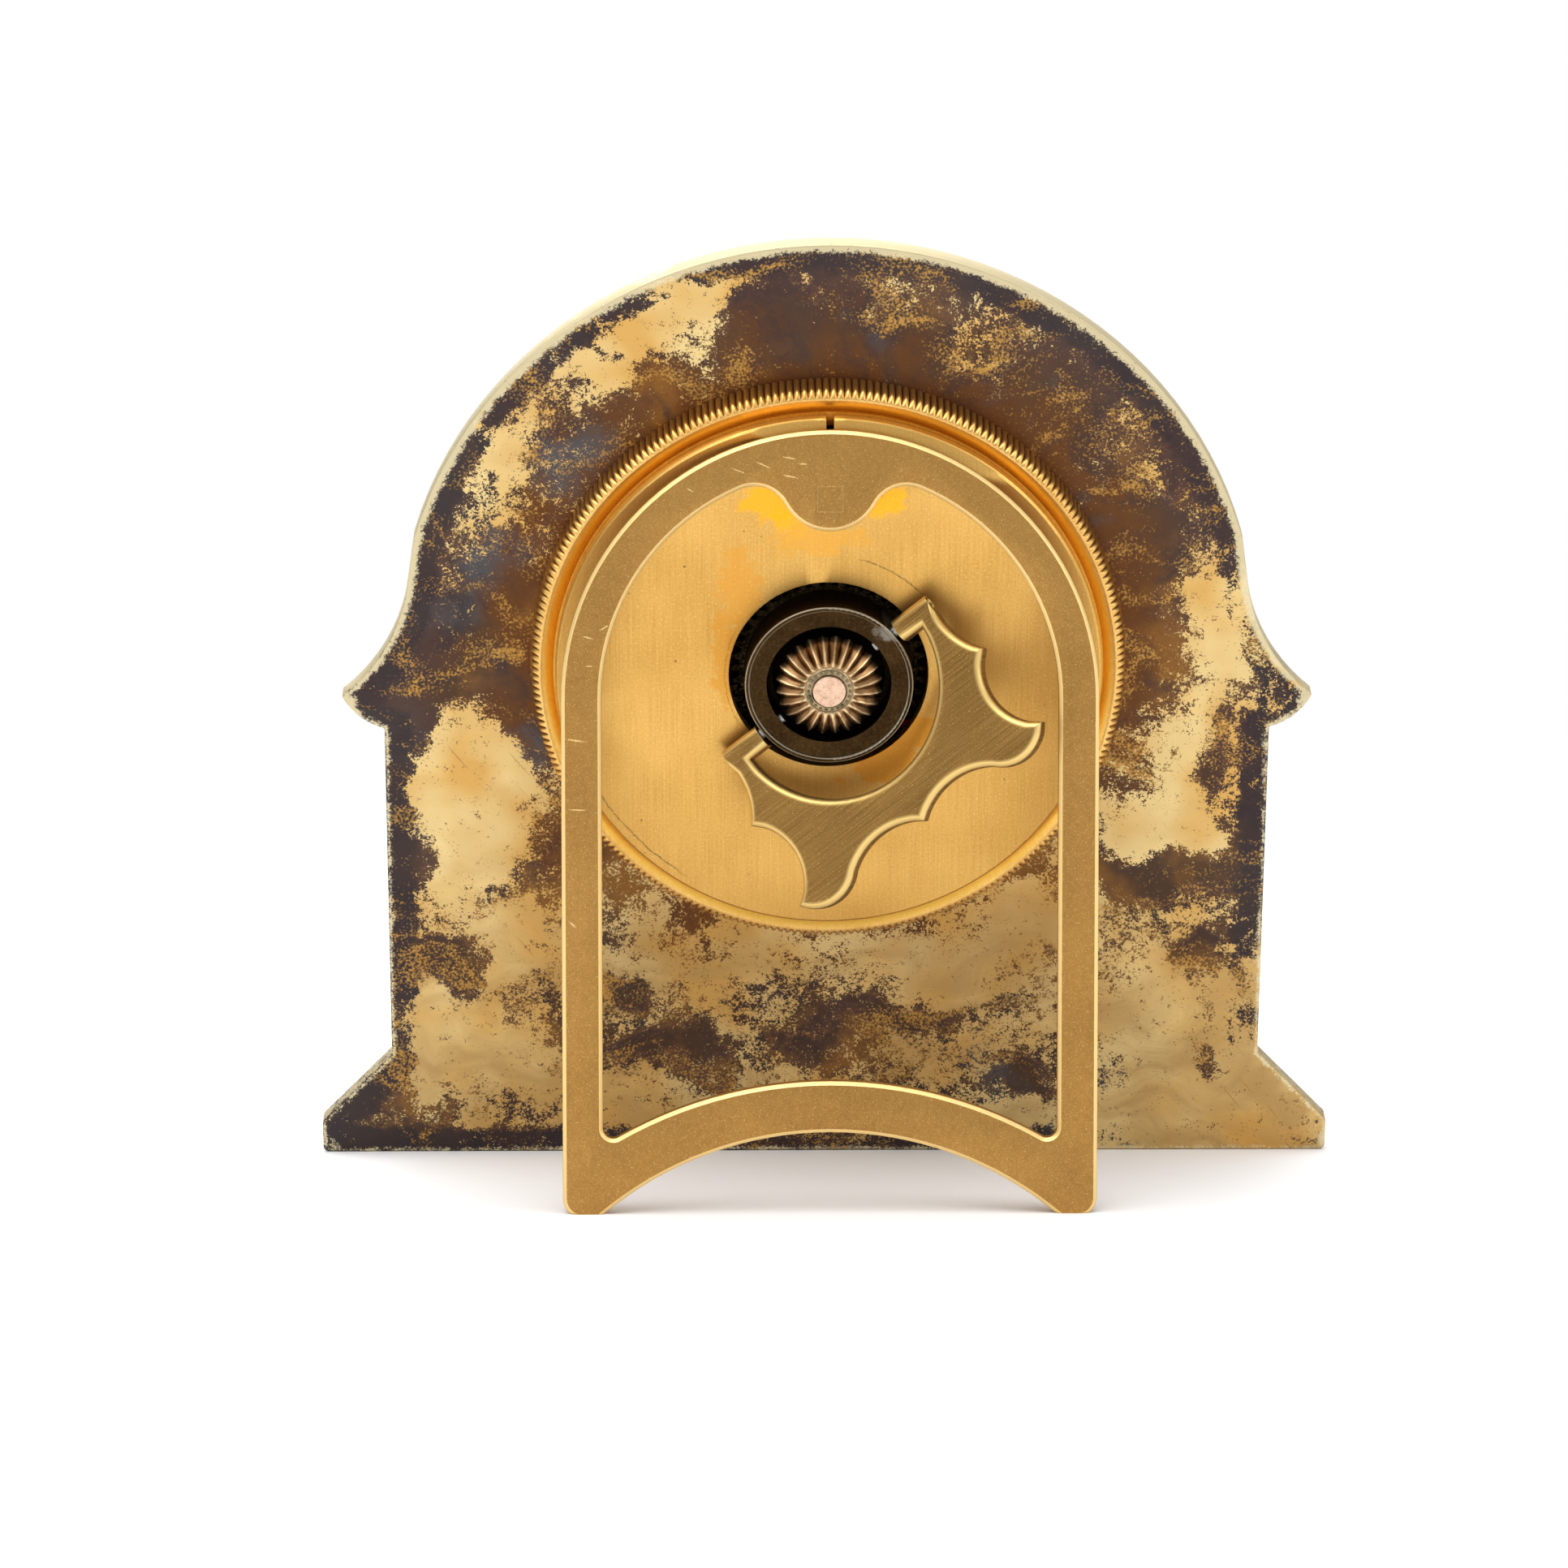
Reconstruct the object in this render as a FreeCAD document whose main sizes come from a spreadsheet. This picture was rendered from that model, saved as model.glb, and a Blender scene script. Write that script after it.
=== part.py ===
import FreeCAD, Part
import math
import os
import re
from FreeCAD import Placement, Rotation, Vector

# Desk clock with calendar, standing on its plate's feet and on its opened strut.
# Row frame: +Z up, the dial faces -Y, the strut is at +Y, z = 0 is the table.
# Pieces are drawn on the bench, the clock lying on its dial: x to the right as seen from behind,
# y up the plate, z towards the back, with zero at the middle of the back cover's outer face.

doc = FreeCAD.newDocument("DeskClock")
sheet = doc.addObject("Spreadsheet::Sheet", "Sizes")

# Driving dimensions in millimetres and degrees
sizes = {
    # how it stands
    "lean_angle": 15.1, "cover_height": 55.73, "running_gap": 0.05,
    # front plate
    "plate_thick": 2.4, "plate_top": 46.2, "arch_radius": 45.7, "arch_drop": 32.7, "side_half": 47.35,
    "ear_reach": 51.85, "ear_height": -4.7, "ear_root": -8.5, "ear_start_x": 44.6, "ear_start_y": 8.0,
    "foot_half": 55.1, "foot_top": -47.3, "foot_shoulder": -55.5, "plate_bottom": -59.75,
    "bottom_arch": 0.6, "foot_corner": 0.9, "plate_hole_gap": 0.25,
    # front border and panel
    "border_inset": 1.6, "border_width": 3.4, "border_thick": 1.5, "panel_thick": 0.8, "panel_gap": 0.1,
    # drum case and knurled ring nut
    "drum_radius": 29.15, "drum_wall": 1.5, "flange_radius": 33.0, "flange_thick": 1.4,
    "ledge_width": 1.6, "ledge_thick": 2.1,
    "nut_radius": 31.6, "nut_face": 1.43, "plate_back": 5.41, "knurl_depth": 0.42, "knurl_teeth": 256,
    "nut_flat_radius": 30.35, "nut_chamfer": 1.1,
    # back cover
    "cover_radius": 28.9, "cover_thick": 1.5, "cover_hole": 10.52, "cover_edge": 0.25,
    "notch_width": 0.8, "notch_length": 2.6, "spigot_wall": 1.0, "spigot_depth": 1.1,
    # strut and its hinge
    "strut_open": 17.0, "strut_radius": 28.13, "strut_band": 4.23, "strut_thick": 1.6,
    "strut_drop": 0.33, "strut_length": 54.95, "strut_bevel": 0.4,
    "ogee_tip": 17.56, "ogee_radius": 5.4, "ogee_shoulder": 3.6,
    "foot_inner": 24.3, "foot_outer": 26.4, "foot_round": 2.0, "foot_arch": 45.86,
    "window_bottom": 40.4, "window_corner": 46.45, "window_corner_round": 1.1,
    "strut_axis_y": 20.6, "strut_axis_z": 1.1, "strut_touch": 0.05,
    "lug_inner": 2.05, "lug_width": 1.3, "knuckle_half": 1.95, "knuckle_radius": 0.93,
    "strut_pin_radius": 0.42, "tenon_half": 1.3,
    # winding ring, wing and pins
    "wind_outer": 8.9, "wind_inner": 6.6, "wind_face": 2.91, "wind_round": 0.22,
    "wind_lip": 8.35, "wind_recess": 0.28,
    "wing_turn": 40.0, "wing_raise": 31.0, "wing_axis_z": 1.8, "wing_thick": 2.0,
    "wing_tip_x": 16.48, "wing_tip_y": 17.36, "wing_cusp": 18.2, "wing_side_x": 15.87, "wing_side_y": 7.33,
    "wing_end": 13.9, "wing_lug_inner": 9.3, "wing_lug_length": 1.55, "crescent_x": 11.75,
    "crescent_depth": 12.55, "wing_pin_radius": 0.6, "wing_pin_inner": 6.25, "wing_pin_end": 13.6,
    "wind_bush_bore": 5.95, "wind_bush_top": 0.3, "wind_wheel_top": 1.9, "wind_wheel_thick": 0.7,
    # setting knob
    "knob_radius": 5.68, "knob_rim_z": 2.75, "knob_rim_thick": 0.9, "knob_flutes": 24,
    "knob_crown": 2.6, "knob_top_z": 4.4, "knob_groove": 2.1, "knob_cap_radius": 1.76,
    "knob_cap_z": 4.72, "knob_cap_depth": 0.5, "knob_hub_radius": 3.0, "knob_bottom_z": -0.6,
    "knob_bore_depth": 0.75, "flute_radius": 0.42, "flute_start": 0.55,
    # small screws in the drum's ledge
    "small_screw_radius": 0.3, "small_head_radius": 0.42, "small_head_thick": 0.25,
    "ledge_screw_ring": 26.5, "ledge_screw_reach": 1.2,
    # movement plates
    "movement_radius": 26.9, "back_plate_z": 3.2, "movement_plate_thick": 1.2, "plate_space": 5.8,
    "pillar_ring": 24.4, "pillar_radius": 1.3, "screw_radius": 0.6, "screw_head_radius": 0.96,
    "screw_head_thick": 0.5, "screw_reach": 0.8, "stud_radius": 0.48,
    # going train
    "arbor_radius": 0.4, "pivot_radius": 0.22, "wheel_thick": 0.4, "jewel_radius": 0.7,
    "centre_arbor_radius": 0.6, "pipe_radius": 0.92, "barrel_distance": 16.5, "barrel_angle": 200.0,
    "barrel_radius": 9.0, "barrel_wall": 0.5, "barrel_arbor_radius": 1.2,
    "great_teeth": 60, "great_module": 0.32, "great_leaves": 12,
    "inter_teeth": 48, "inter_module": 0.25, "centre_leaves": 10,
    "centre_teeth": 64, "centre_module": 0.2, "third_leaves": 8, "third_angle": 60.0,
    "third_teeth": 60, "third_module": 0.18, "fourth_leaves": 8, "fourth_angle": -15.0,
    "fourth_teeth": 64, "fourth_module": 0.15, "escape_leaves": 8, "escape_angle": -55.0,
    "escape_teeth": 15, "escape_radius": 3.0, "lever_angle": -83.0, "fork_length": 4.75,
    "fork_angle": 222.0, "balance_distance": 6.0, "balance_radius": 4.8, "impulse_radius": 0.9,
    "balance_rim": 0.7, "balance_bar_half": 0.55, "balance_bar_angle": 60.0, "roller_radius": 1.15,
    "lever_width": 0.5, "fork_half": 0.62, "fork_slot_half": 0.25, "stone_half": 0.2, "stone_length": 0.9,
    "hairspring_pitch": 0.3, "hairspring_turns": 8, "hairspring_strip": 0.08, "hairspring_high": 0.2,
    "mainspring_pitch": 0.62, "mainspring_turns": 10, "mainspring_strip": 0.24,
    # winding work
    "wind_teeth": 44, "ratchet_teeth": 29, "click_distance": 2.2, "click_angle": -75.0,
    "bush_flange_thick": 0.45,
    # motion work and calendar
    "cannon_teeth": 12, "minute_teeth": 36, "motion_module": 0.25, "minute_leaves": 10, "hour_teeth": 40,
    "minute_angle": 250.0, "date_pinion_teeth": 24, "date_wheel_teeth": 48, "date_wheel_angle": 110.0,
    "date_ring_outer": 21.0, "date_ring_root": 15.7, "date_ring_tip": 14.7, "date_ring_thick": 0.35,
    "date_finger": 6.75, "date_teeth": 31, "keeper_width": 2.2, "jumper_angle": 340.0,
    "cannon_wall": 0.35, "hour_wall": 0.5,
    "dial_window_radius": 18.2, "dial_window_width": 4.6, "dial_window_height": 3.6,
    # dial, hands, glass and bezel
    "dial_z": 13.5, "dial_thick": 0.6, "dial_radius": 27.4, "hour_hand_z": 14.75, "minute_hand_z": 15.5,
    "hand_thick": 0.3, "hour_hand_length": 14.5, "minute_hand_length": 22.5, "hand_tip_z": 16.1,
    "hour_hand_tail": 4.0, "minute_hand_tail": 5.5, "hour_hand_angle": 305.0, "minute_hand_angle": 60.0,
    "hand_boss": 0.9,
    "crystal_z": 16.6, "crystal_thick": 1.2, "bezel_radius": 31.4, "bezel_opening": 26.8,
    "bezel_front": 18.8, "bezel_round": 1.4,
}
for row, (word, number) in enumerate(sizes.items(), start=1):
    sheet.set("A%d" % row, word)
    sheet.set("B%d" % row, str(number))
    sheet.setAlias("B%d" % row, word)
doc.recompute()


def size(word):
    return float(sheet.get(word))


# Helpers that make bound shapes on the bench

def formula(text):
    """Point each size word of a formula at its cell."""
    return re.sub(r"[a-z_]+", lambda found: "Sizes." * (found.group() in sizes) + found.group(), text)


def bound(kind, settings):
    thing = doc.addObject(kind, kind.split("::")[1])
    for name, text in settings.items():
        thing.setExpression(name, formula(text))
    return thing


def rod(radius, low, high, x="0", y="0"):
    return bound("Part::Cylinder", {
        "Radius": radius, "Height": "(%s) - (%s)" % (high, low),
        "Placement.Base.x": x, "Placement.Base.y": y, "Placement.Base.z": low})


def taper(radius_low, radius_high, low, high):
    return bound("Part::Cone", {
        "Radius1": radius_low, "Radius2": radius_high, "Height": "(%s) - (%s)" % (high, low),
        "Placement.Base.z": low})


def block(left, right, bottom, top, low, high):
    return bound("Part::Box", {
        "Length": "(%s) - (%s)" % (right, left), "Width": "(%s) - (%s)" % (top, bottom),
        "Height": "(%s) - (%s)" % (high, low),
        "Placement.Base.x": left, "Placement.Base.y": bottom, "Placement.Base.z": low})


def fuse(*things):
    joined = doc.addObject("Part::MultiFuse", "Fuse")
    joined.Shapes = list(things)
    return joined


def group(*things):
    together = doc.addObject("Part::Compound", "Group")
    together.Links = list(things)
    return together


def cut(base, *tools):
    carved = doc.addObject("Part::Cut", "Cut")
    carved.Base = base
    carved.Tool = tools[0] if len(tools) == 1 else group(*tools)
    return carved


def tube(outer, inner, low, high, x="0", y="0"):
    return cut(rod(outer, low, high, x, y), rod(inner, "(%s) - 1" % low, "(%s) + 1" % high, x, y))


def path_edges(start, *steps):
    """Edges from point to point: a step is an end point, or a through point and an end point."""
    edges = []
    here = Vector(*start)
    for step in steps:
        there = Vector(*step[-1]) if isinstance(step[0], tuple) else Vector(*step)
        if isinstance(step[0], tuple):
            edges.append(Part.Arc(here, Vector(*step[0]), there).toShape())
        else:
            edges.append(Part.LineSegment(here, there).toShape())
        here = there
    return edges


def mirrored_path(start, *steps):
    """The same steps on the right, then back up the left; start and end lie on the middle line."""
    half = path_edges(start, *steps)
    left = [edge.mirror(Vector(), Vector(1, 0, 0)) for edge in half]
    return Part.Wire(Part.__sortEdges__(half + left))


def slab(wire, low, high):
    """An outline given its thickness between two heights."""
    outline = doc.addObject("Part::Feature", "Outline")
    outline.Shape = wire
    outline.setExpression("Placement.Base.z", formula(low))
    raised = doc.addObject("Part::Extrusion", "Slab")
    raised.Base = outline
    raised.DirMode = "Custom"
    raised.Dir = Vector(0, 0, 1)
    raised.Solid = True
    raised.setExpression("LengthFwd", formula("(%s) - (%s)" % (high, low)))
    return raised


def shaped(shape):
    made = doc.addObject("Part::Feature", "Shape")
    made.Shape = shape
    return made


pieces = {}
postures = {}


def piece(name, thing, posture=None):
    """A finished sub-part; primitives are wrapped so that the label's object carries the standing place."""
    if thing.TypeId in ("Part::Cylinder", "Part::Box", "Part::Cone", "Part::Torus"):
        thing = group(thing)
    thing.Label = name
    pieces[name] = thing
    postures[name] = posture or Placement()
    return thing


def bow(end, crown):
    """The through point of an arc that is level where it meets the middle line."""
    rise = crown - end[1]
    radius = (end[0] ** 2 + rise ** 2) / (2 * rise)
    across = end[0] / 2
    return across, crown - radius + math.sqrt(radius ** 2 - across ** 2)


def around(x, y, distance, angle):
    turn = math.radians(angle)
    return x + distance * math.cos(turn), y + distance * math.sin(turn)


def spot(point):
    return "%.9f" % point[0], "%.9f" % point[1]


# Standing place: the bench leaned back and set on the table, hinge turns for the strut and the wing

lean = math.radians(size("lean_angle"))
up = Vector(0, math.sin(lean), math.cos(lean))
rear = Vector(0, math.cos(lean), -math.sin(lean))
standing = Placement(FreeCAD.Matrix(
    -1, 0, 0, 0,
    0, up.y, rear.y, 0,
    0, up.z, rear.z, size("cover_height"),
    0, 0, 0, 1))
strut_axis = Vector(0, size("strut_axis_y"), size("strut_axis_z"))
strut_opening = Placement(Vector(), Rotation(Vector(1, 0, 0), -size("strut_open")), strut_axis)
wing_axis = Vector(0, 0, size("wing_axis_z"))
wing_lift = Placement(wing_axis, Rotation(Vector(0, 0, 1), size("wing_turn"))
                      * Rotation(Vector(1, 0, 0), -size("wing_raise")))


def table(posture):
    """The table's space as seen from a piece in its own posture, to cut its feet level."""
    ground = doc.addObject("Part::Box", "Table")
    ground.Length, ground.Width, ground.Height = 400, 400, 40
    ground.Placement = (standing * posture).inverse() * Placement(Vector(-200, -200, -40), Rotation())
    return ground


# Front plate: arched top, eared shoulders, splayed feet, a hole for the drum

def plate_outline():
    corner = size("foot_corner")
    arch_centre = size("plate_top") - size("arch_radius")
    arch_end_y = size("plate_top") - size("arch_drop")
    arch_end_x = math.sqrt(size("arch_radius") ** 2 - (arch_end_y - arch_centre) ** 2)
    side, foot = size("side_half"), size("foot_half")
    ear_x, ear_y = size("ear_reach"), size("ear_height")
    middle = math.radians(45)
    bottom = size("plate_bottom")
    crown = bottom + size("bottom_arch")
    return mirrored_path(
        (0, size("plate_top")),
        ((size("arch_radius") * math.sin(middle), arch_centre + size("arch_radius") * math.cos(middle)),
         (arch_end_x, arch_end_y)),
        (size("ear_start_x"), size("ear_start_y")),
        ((side + 0.05, 0.35), (ear_x, ear_y)),
        ((side + 2.75, ear_y - 2.3), (side, size("ear_root"))),
        (side, size("foot_top")),
        (foot, size("foot_shoulder")),
        (foot, bottom + corner),
        (foot - corner, bottom),
        (bow((foot - corner, bottom), crown), (0, crown)))


plate_low = "-plate_back - plate_thick"
plate_blank = slab(plate_outline(), plate_low, "-plate_back")
plate_bore = rod("drum_radius + plate_hole_gap", "-plate_back - plate_thick - 1", "-plate_back + 1")
piece("front_plate", cut(plate_blank, plate_bore, table(Placement())))


def front_outline(inset):
    """The front's moulding line: the arch drawn in by an inset, straight sides and a splayed foot."""
    radius, side, foot = size("arch_radius") - inset, size("side_half") - inset, size("foot_half") - inset
    centre = size("plate_top") - size("arch_radius")
    root = size("ear_root") - inset
    middle = math.radians(45)
    return mirrored_path(
        (0, centre + radius),
        ((radius * math.sin(middle), centre + radius * math.cos(middle)), (radius, centre)),
        (side, root), (side, size("foot_top") + 0.4 * inset),
        (foot, size("foot_shoulder") + 0.4 * inset), (foot, size("plate_bottom") + inset),
        (0, size("plate_bottom") + inset))


# Front border: a raised moulding on the plate's front, and the thin panel that it frames

border_low = "-plate_back - plate_thick - border_thick"
border_face = "-plate_back - plate_thick"
border_outer = slab(front_outline(size("border_inset")), border_low, border_face)
border_hollow = slab(front_outline(size("border_inset") + size("border_width")),
                     border_low + " - 1", border_face + " + 1")
border = cut(border_outer, border_hollow)
panel_inset = size("border_inset") + size("border_width") + size("panel_gap")
panel_blank = slab(front_outline(panel_inset), "-plate_back - plate_thick - panel_thick", border_face)
panel_bore = rod("flange_radius + 0.15", border_low + " - 1", border_face + " + 1")
piece("front_panel", cut(panel_blank, panel_bore))


def front_edges(shape, low):
    """The edges that lie on a flat face at one height."""
    return [edge for edge in shape.Edges
            if abs(edge.BoundBox.ZMin - low) < 1e-5 and abs(edge.BoundBox.ZMax - low) < 1e-5]


doc.recompute()
border_low_z = -size("plate_back") - size("plate_thick") - size("border_thick")
border_edges = front_edges(border.Shape, border_low_z)
piece("front_border", shaped(border.Shape.makeChamfer(0.45 * size("border_thick"), border_edges)))

case_screw_angles = (15, 135, 285)
dial_screw_angles = (0, 180)


def ring_of_rods(radius, ring, angles, low, high):
    """Upright rods round the middle, all at one distance from it."""
    rods = []
    for angle in angles:
        turn = math.radians(angle)
        rods.append(rod(radius, low, high, "(%s) * %.9f" % (ring, math.cos(turn)),
                        "(%s) * %.9f" % (ring, math.sin(turn))))
    return rods


# Drum case: threaded tube through the plate, front flange, inner ledge for the movement and dial

drum = tube("drum_radius", "drum_radius - drum_wall", "-dial_z - dial_thick", "-cover_thick")
flange = tube("flange_radius", "drum_radius - 0.5", "-plate_back - plate_thick - flange_thick",
              "-plate_back - plate_thick")
ledge = tube("drum_radius - drum_wall + 0.4", "drum_radius - drum_wall - ledge_width",
             "-dial_z", "-dial_z + ledge_thick")
ledge_holes = (ring_of_rods("small_screw_radius", "ledge_screw_ring", case_screw_angles,
                            "-dial_z + ledge_thick - ledge_screw_reach - 0.1", "-dial_z + ledge_thick + 1")
               + ring_of_rods("small_screw_radius", "ledge_screw_ring", dial_screw_angles,
                              "-dial_z - 1", "-dial_z + ledge_screw_reach + 0.1"))
piece("drum_case", cut(fuse(drum, flange, ledge), *ledge_holes))

# Knurled ring nut: toothed edge, flat rear face and an inner cone down to the thread


def knurled_wire():
    teeth = int(size("knurl_teeth"))
    points = []
    for step in range(2 * teeth):
        radius = size("nut_radius") - (step % 2) * size("knurl_depth")
        turn = math.pi * step / teeth
        points.append(Vector(radius * math.cos(turn), radius * math.sin(turn), 0))
    return Part.makePolygon(points + points[:1])


nut_blank = slab(knurled_wire(), "-plate_back", "-nut_face")
nut_thread = rod("drum_radius + running_gap", "-plate_back - 1", "1")
nut_cone = taper("drum_radius + running_gap", "nut_flat_radius", "-nut_face - nut_chamfer", "-nut_face")
piece("knurled_ring_nut", cut(nut_blank, nut_thread, nut_cone))

# Back cover: round plate with a centre hole, a notch at the top and a spigot that plugs the drum

cover_disc = rod("cover_radius - cover_edge", "-cover_thick", "0")
cover_body = rod("cover_radius", "-cover_thick", "-cover_edge")
cover_bevel = taper("cover_radius", "cover_radius - cover_edge", "-cover_edge", "0")
spigot_outer = "drum_radius - drum_wall - running_gap"
spigot = tube(spigot_outer, spigot_outer + " - spigot_wall", "-cover_thick - spigot_depth",
              "-cover_thick + 0.2")
cover_hole = rod("cover_hole", "-cover_thick - 1", "1")
notch = block("-notch_width / 2", "notch_width / 2", "cover_radius - notch_length", "cover_radius + 1",
              "-cover_thick - 2", "1")
stem_low, stem_high = "-cover_thick", "0.4"


def stem(side, room):
    """A square stem under one hinge lug, or its hole in the cover when given room."""
    inner = "%s * (lug_inner + lug_width / 2) - 0.4 - %s" % (side, room)
    outer = "%s * (lug_inner + lug_width / 2) + 0.4 + %s" % (side, room)
    return block(inner, outer, "strut_axis_y - 0.6 - %s" % room, "strut_axis_y + 0.6 + %s" % room,
                 "%s - %s * 50" % (stem_low, room), stem_high)


piece("back_cover", cut(fuse(cover_disc, cover_body, cover_bevel, spigot), cover_hole, notch,
                        stem("1", "0.02"), stem("-1", "0.02")))

# Strut hinge: two lugs riveted through the cover, a pin, and a knuckle tenoned into the strut


def along_x(radius, left, right, y, height):
    """A round bar along x."""
    bar = bound("Part::Cylinder", {
        "Radius": radius, "Height": "(%s) - (%s)" % (right, left), "Placement.Base.x": left,
        "Placement.Base.y": y, "Placement.Base.z": height})
    bar.Placement = Placement(bar.Placement.Base, Rotation(Vector(0, 1, 0), 90))
    return bar


def lug(side):
    low = "lug_inner" if side == "1" else "-lug_inner - lug_width"
    high = "lug_inner + lug_width" if side == "1" else "-lug_inner"
    foot = block(low, high, "strut_axis_y - knuckle_radius", "strut_axis_y + knuckle_radius",
                 "0", "strut_axis_z")
    eye = along_x("knuckle_radius", low, high, "strut_axis_y", "strut_axis_z")
    hole = along_x("strut_pin_radius", low + " - 1", high + " + 1", "strut_axis_y", "strut_axis_z")
    return cut(fuse(foot, eye, stem(side, "0")), hole)


piece("hinge_lugs", group(lug("1"), lug("-1")))
piece("strut_hinge_pin", along_x("strut_pin_radius", "-lug_inner - lug_width - 0.1",
                                 "lug_inner + lug_width + 0.1", "strut_axis_y", "strut_axis_z"))

# The strut is drawn folded, parallel to the cover; its arch sits strut_drop below the cover's middle

opening = math.radians(size("strut_open"))
above_axis = size("strut_radius") - size("strut_drop") - size("strut_axis_y")
lift = (size("strut_touch") - size("strut_axis_z") + above_axis * math.sin(opening)) / math.cos(opening)
strut_front = size("strut_axis_z") + lift
strut_rear = strut_front + size("strut_thick")
sheet.set("D1", "strut_front")
sheet.set("E1", "%.9f" % strut_front)
sheet.setAlias("E1", "strut_front")
sizes["strut_front"] = strut_front
doc.recompute()


def strut_outer():
    radius, drop = size("strut_radius"), size("strut_drop")
    bottom = drop + size("strut_length")
    outer, inner = size("foot_outer"), size("foot_inner")
    round_off = size("foot_round")
    turn = math.radians(45)
    return mirrored_path(
        (0, radius - drop), ((radius * math.sin(turn), radius * math.cos(turn) - drop), (radius, -drop)),
        (radius, round_off - bottom),
        ((radius - 0.22 * round_off, 0.4 * round_off - bottom), (outer, -bottom)),
        (inner, -bottom),
        (bow((inner, -bottom), -drop - size("foot_arch")), (0, -drop - size("foot_arch"))))


def strut_window():
    """The opening: big arc, two small shoulder arcs and the ogee tip, all tangent, then legs and sill."""
    drop = size("strut_drop")
    big = size("strut_radius") - size("strut_band")
    tip, shoulder = size("ogee_radius"), size("ogee_shoulder")
    tip_centre = size("ogee_tip") + tip
    reach = big - shoulder
    lean_out = math.acos((reach ** 2 + tip_centre ** 2 - (tip + shoulder) ** 2) / (2 * reach * tip_centre))
    shoulder_x, shoulder_y = reach * math.sin(lean_out), reach * math.cos(lean_out)
    share = tip / (tip + shoulder)
    meet_x, meet_y = shoulder_x * share, tip_centre + (shoulder_y - tip_centre) * share
    top_x, top_y = big * math.sin(lean_out), big * math.cos(lean_out)
    out_x, out_y = top_x - shoulder_x, top_y - shoulder_y
    in_x, in_y = meet_x - shoulder_x, meet_y - shoulder_y
    mid_x, mid_y = (out_x + in_x) / 2, (out_y + in_y) / 2
    stretch = shoulder / math.hypot(mid_x, mid_y)
    tip_turn = math.atan2(meet_x, tip_centre - meet_y) / 2
    arc_turn = (math.radians(90) + lean_out) / 2
    corner = size("window_corner_round")
    low = size("window_corner")
    sill_end, sill_crown = (big - 1.35 * corner, 0.06 - low - drop), -size("window_bottom") - drop
    return mirrored_path(
        (0, size("ogee_tip") - drop),
        ((tip * math.sin(tip_turn), tip_centre - tip * math.cos(tip_turn) - drop), (meet_x, meet_y - drop)),
        ((shoulder_x + mid_x * stretch, shoulder_y + mid_y * stretch - drop), (top_x, top_y - drop)),
        ((big * math.sin(arc_turn), big * math.cos(arc_turn) - drop), (big, -drop)),
        (big, corner - low - drop),
        ((big - 0.29 * corner, 0.29 * corner - low - drop), sill_end),
        (bow(sill_end, sill_crown), (0, sill_crown)))


def bevelled(wire, low, high, bevel, grow):
    """A slab whose outline grows or shrinks by a bevel in its last bit of height."""
    body = Part.Face(wire).extrude(Vector(0, 0, high - bevel - low))
    body.translate(Vector(0, 0, low))
    lower = wire.copy()
    lower.translate(Vector(0, 0, high - bevel))
    upper = wire.makeOffset2D(grow, 2)
    upper.translate(Vector(0, 0, high))
    return body.fuse(Part.makeLoft([lower, upper], True, True))


window_high = strut_rear + size("strut_bevel")
bevel = size("strut_bevel")
strut_blank = shaped(bevelled(strut_outer(), strut_front, strut_rear, bevel, -bevel))
window = shaped(bevelled(strut_window(), strut_front - 1, window_high, 2 * bevel, 2 * bevel))
tenon_hole = block("-tenon_half", "tenon_half", "strut_axis_y - tenon_half", "strut_axis_y + tenon_half",
                   "strut_front - 1", "strut_front + strut_thick + 1")
piece("strut", cut(strut_blank, window, tenon_hole, table(strut_opening)), strut_opening)

knuckle_eye = along_x("knuckle_radius", "-knuckle_half", "knuckle_half", "strut_axis_y", "strut_axis_z")
knuckle_web = block("-knuckle_half", "knuckle_half", "strut_axis_y - knuckle_radius",
                    "strut_axis_y + knuckle_radius", "strut_axis_z", "strut_front")
tenon = block("-tenon_half", "tenon_half", "strut_axis_y - tenon_half", "strut_axis_y + tenon_half",
              "strut_front - 0.05", "strut_front + strut_thick - 0.02")
knuckle_bore = along_x("strut_pin_radius + running_gap / 2", "-knuckle_half - 1", "knuckle_half + 1",
                       "strut_axis_y", "strut_axis_z")
piece("strut_knuckle", cut(fuse(knuckle_eye, knuckle_web, tenon), knuckle_bore), strut_opening)

# Winding ring with its wheel and bush, the two hinge pins, and the winged key

ring_blank = cut(rod("wind_outer", "-wind_wheel_top - wind_wheel_thick", "wind_face"),
                 rod("wind_inner", "-back_plate_z - 1", "wind_face + 1"),
                 rod("wind_lip", "wind_face - wind_recess", "wind_face + 1"))
doc.recompute()
ring_rim = [edge for edge in ring_blank.Shape.Edges if abs(edge.BoundBox.ZMin - size("wind_face")) < 1e-5]
ring_rounded = shaped(ring_blank.Shape.makeFillet(size("wind_round"), ring_rim))


def hinge_pin(side, radius, inner, outer):
    """A pin along the wing's hinge line, on one side of the ring."""
    pin = bound("Part::Cylinder", {"Radius": radius, "Height": "(%s) - (%s)" % (outer, inner)})
    turn = Rotation(Vector(0, 0, 1), size("wing_turn") + (0 if side > 0 else 180))
    start = turn.multVec(Vector(size("wing_pin_inner") - (1 if inner != "wing_pin_inner" else 0), 0, 0))
    pin.Placement = Placement(start + wing_axis, turn * Rotation(Vector(0, 1, 0), 90))
    return pin


ring_holes = [hinge_pin(side, "wing_pin_radius", "wing_pin_inner - 1", "wing_pin_end + 1")
              for side in (1, -1)]
piece("winding_ring", cut(ring_rounded, *ring_holes))
piece("wing_hinge_pins", group(*[hinge_pin(side, "wing_pin_radius", "wing_pin_inner", "wing_pin_end")
                                 for side in (1, -1)]))


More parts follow.
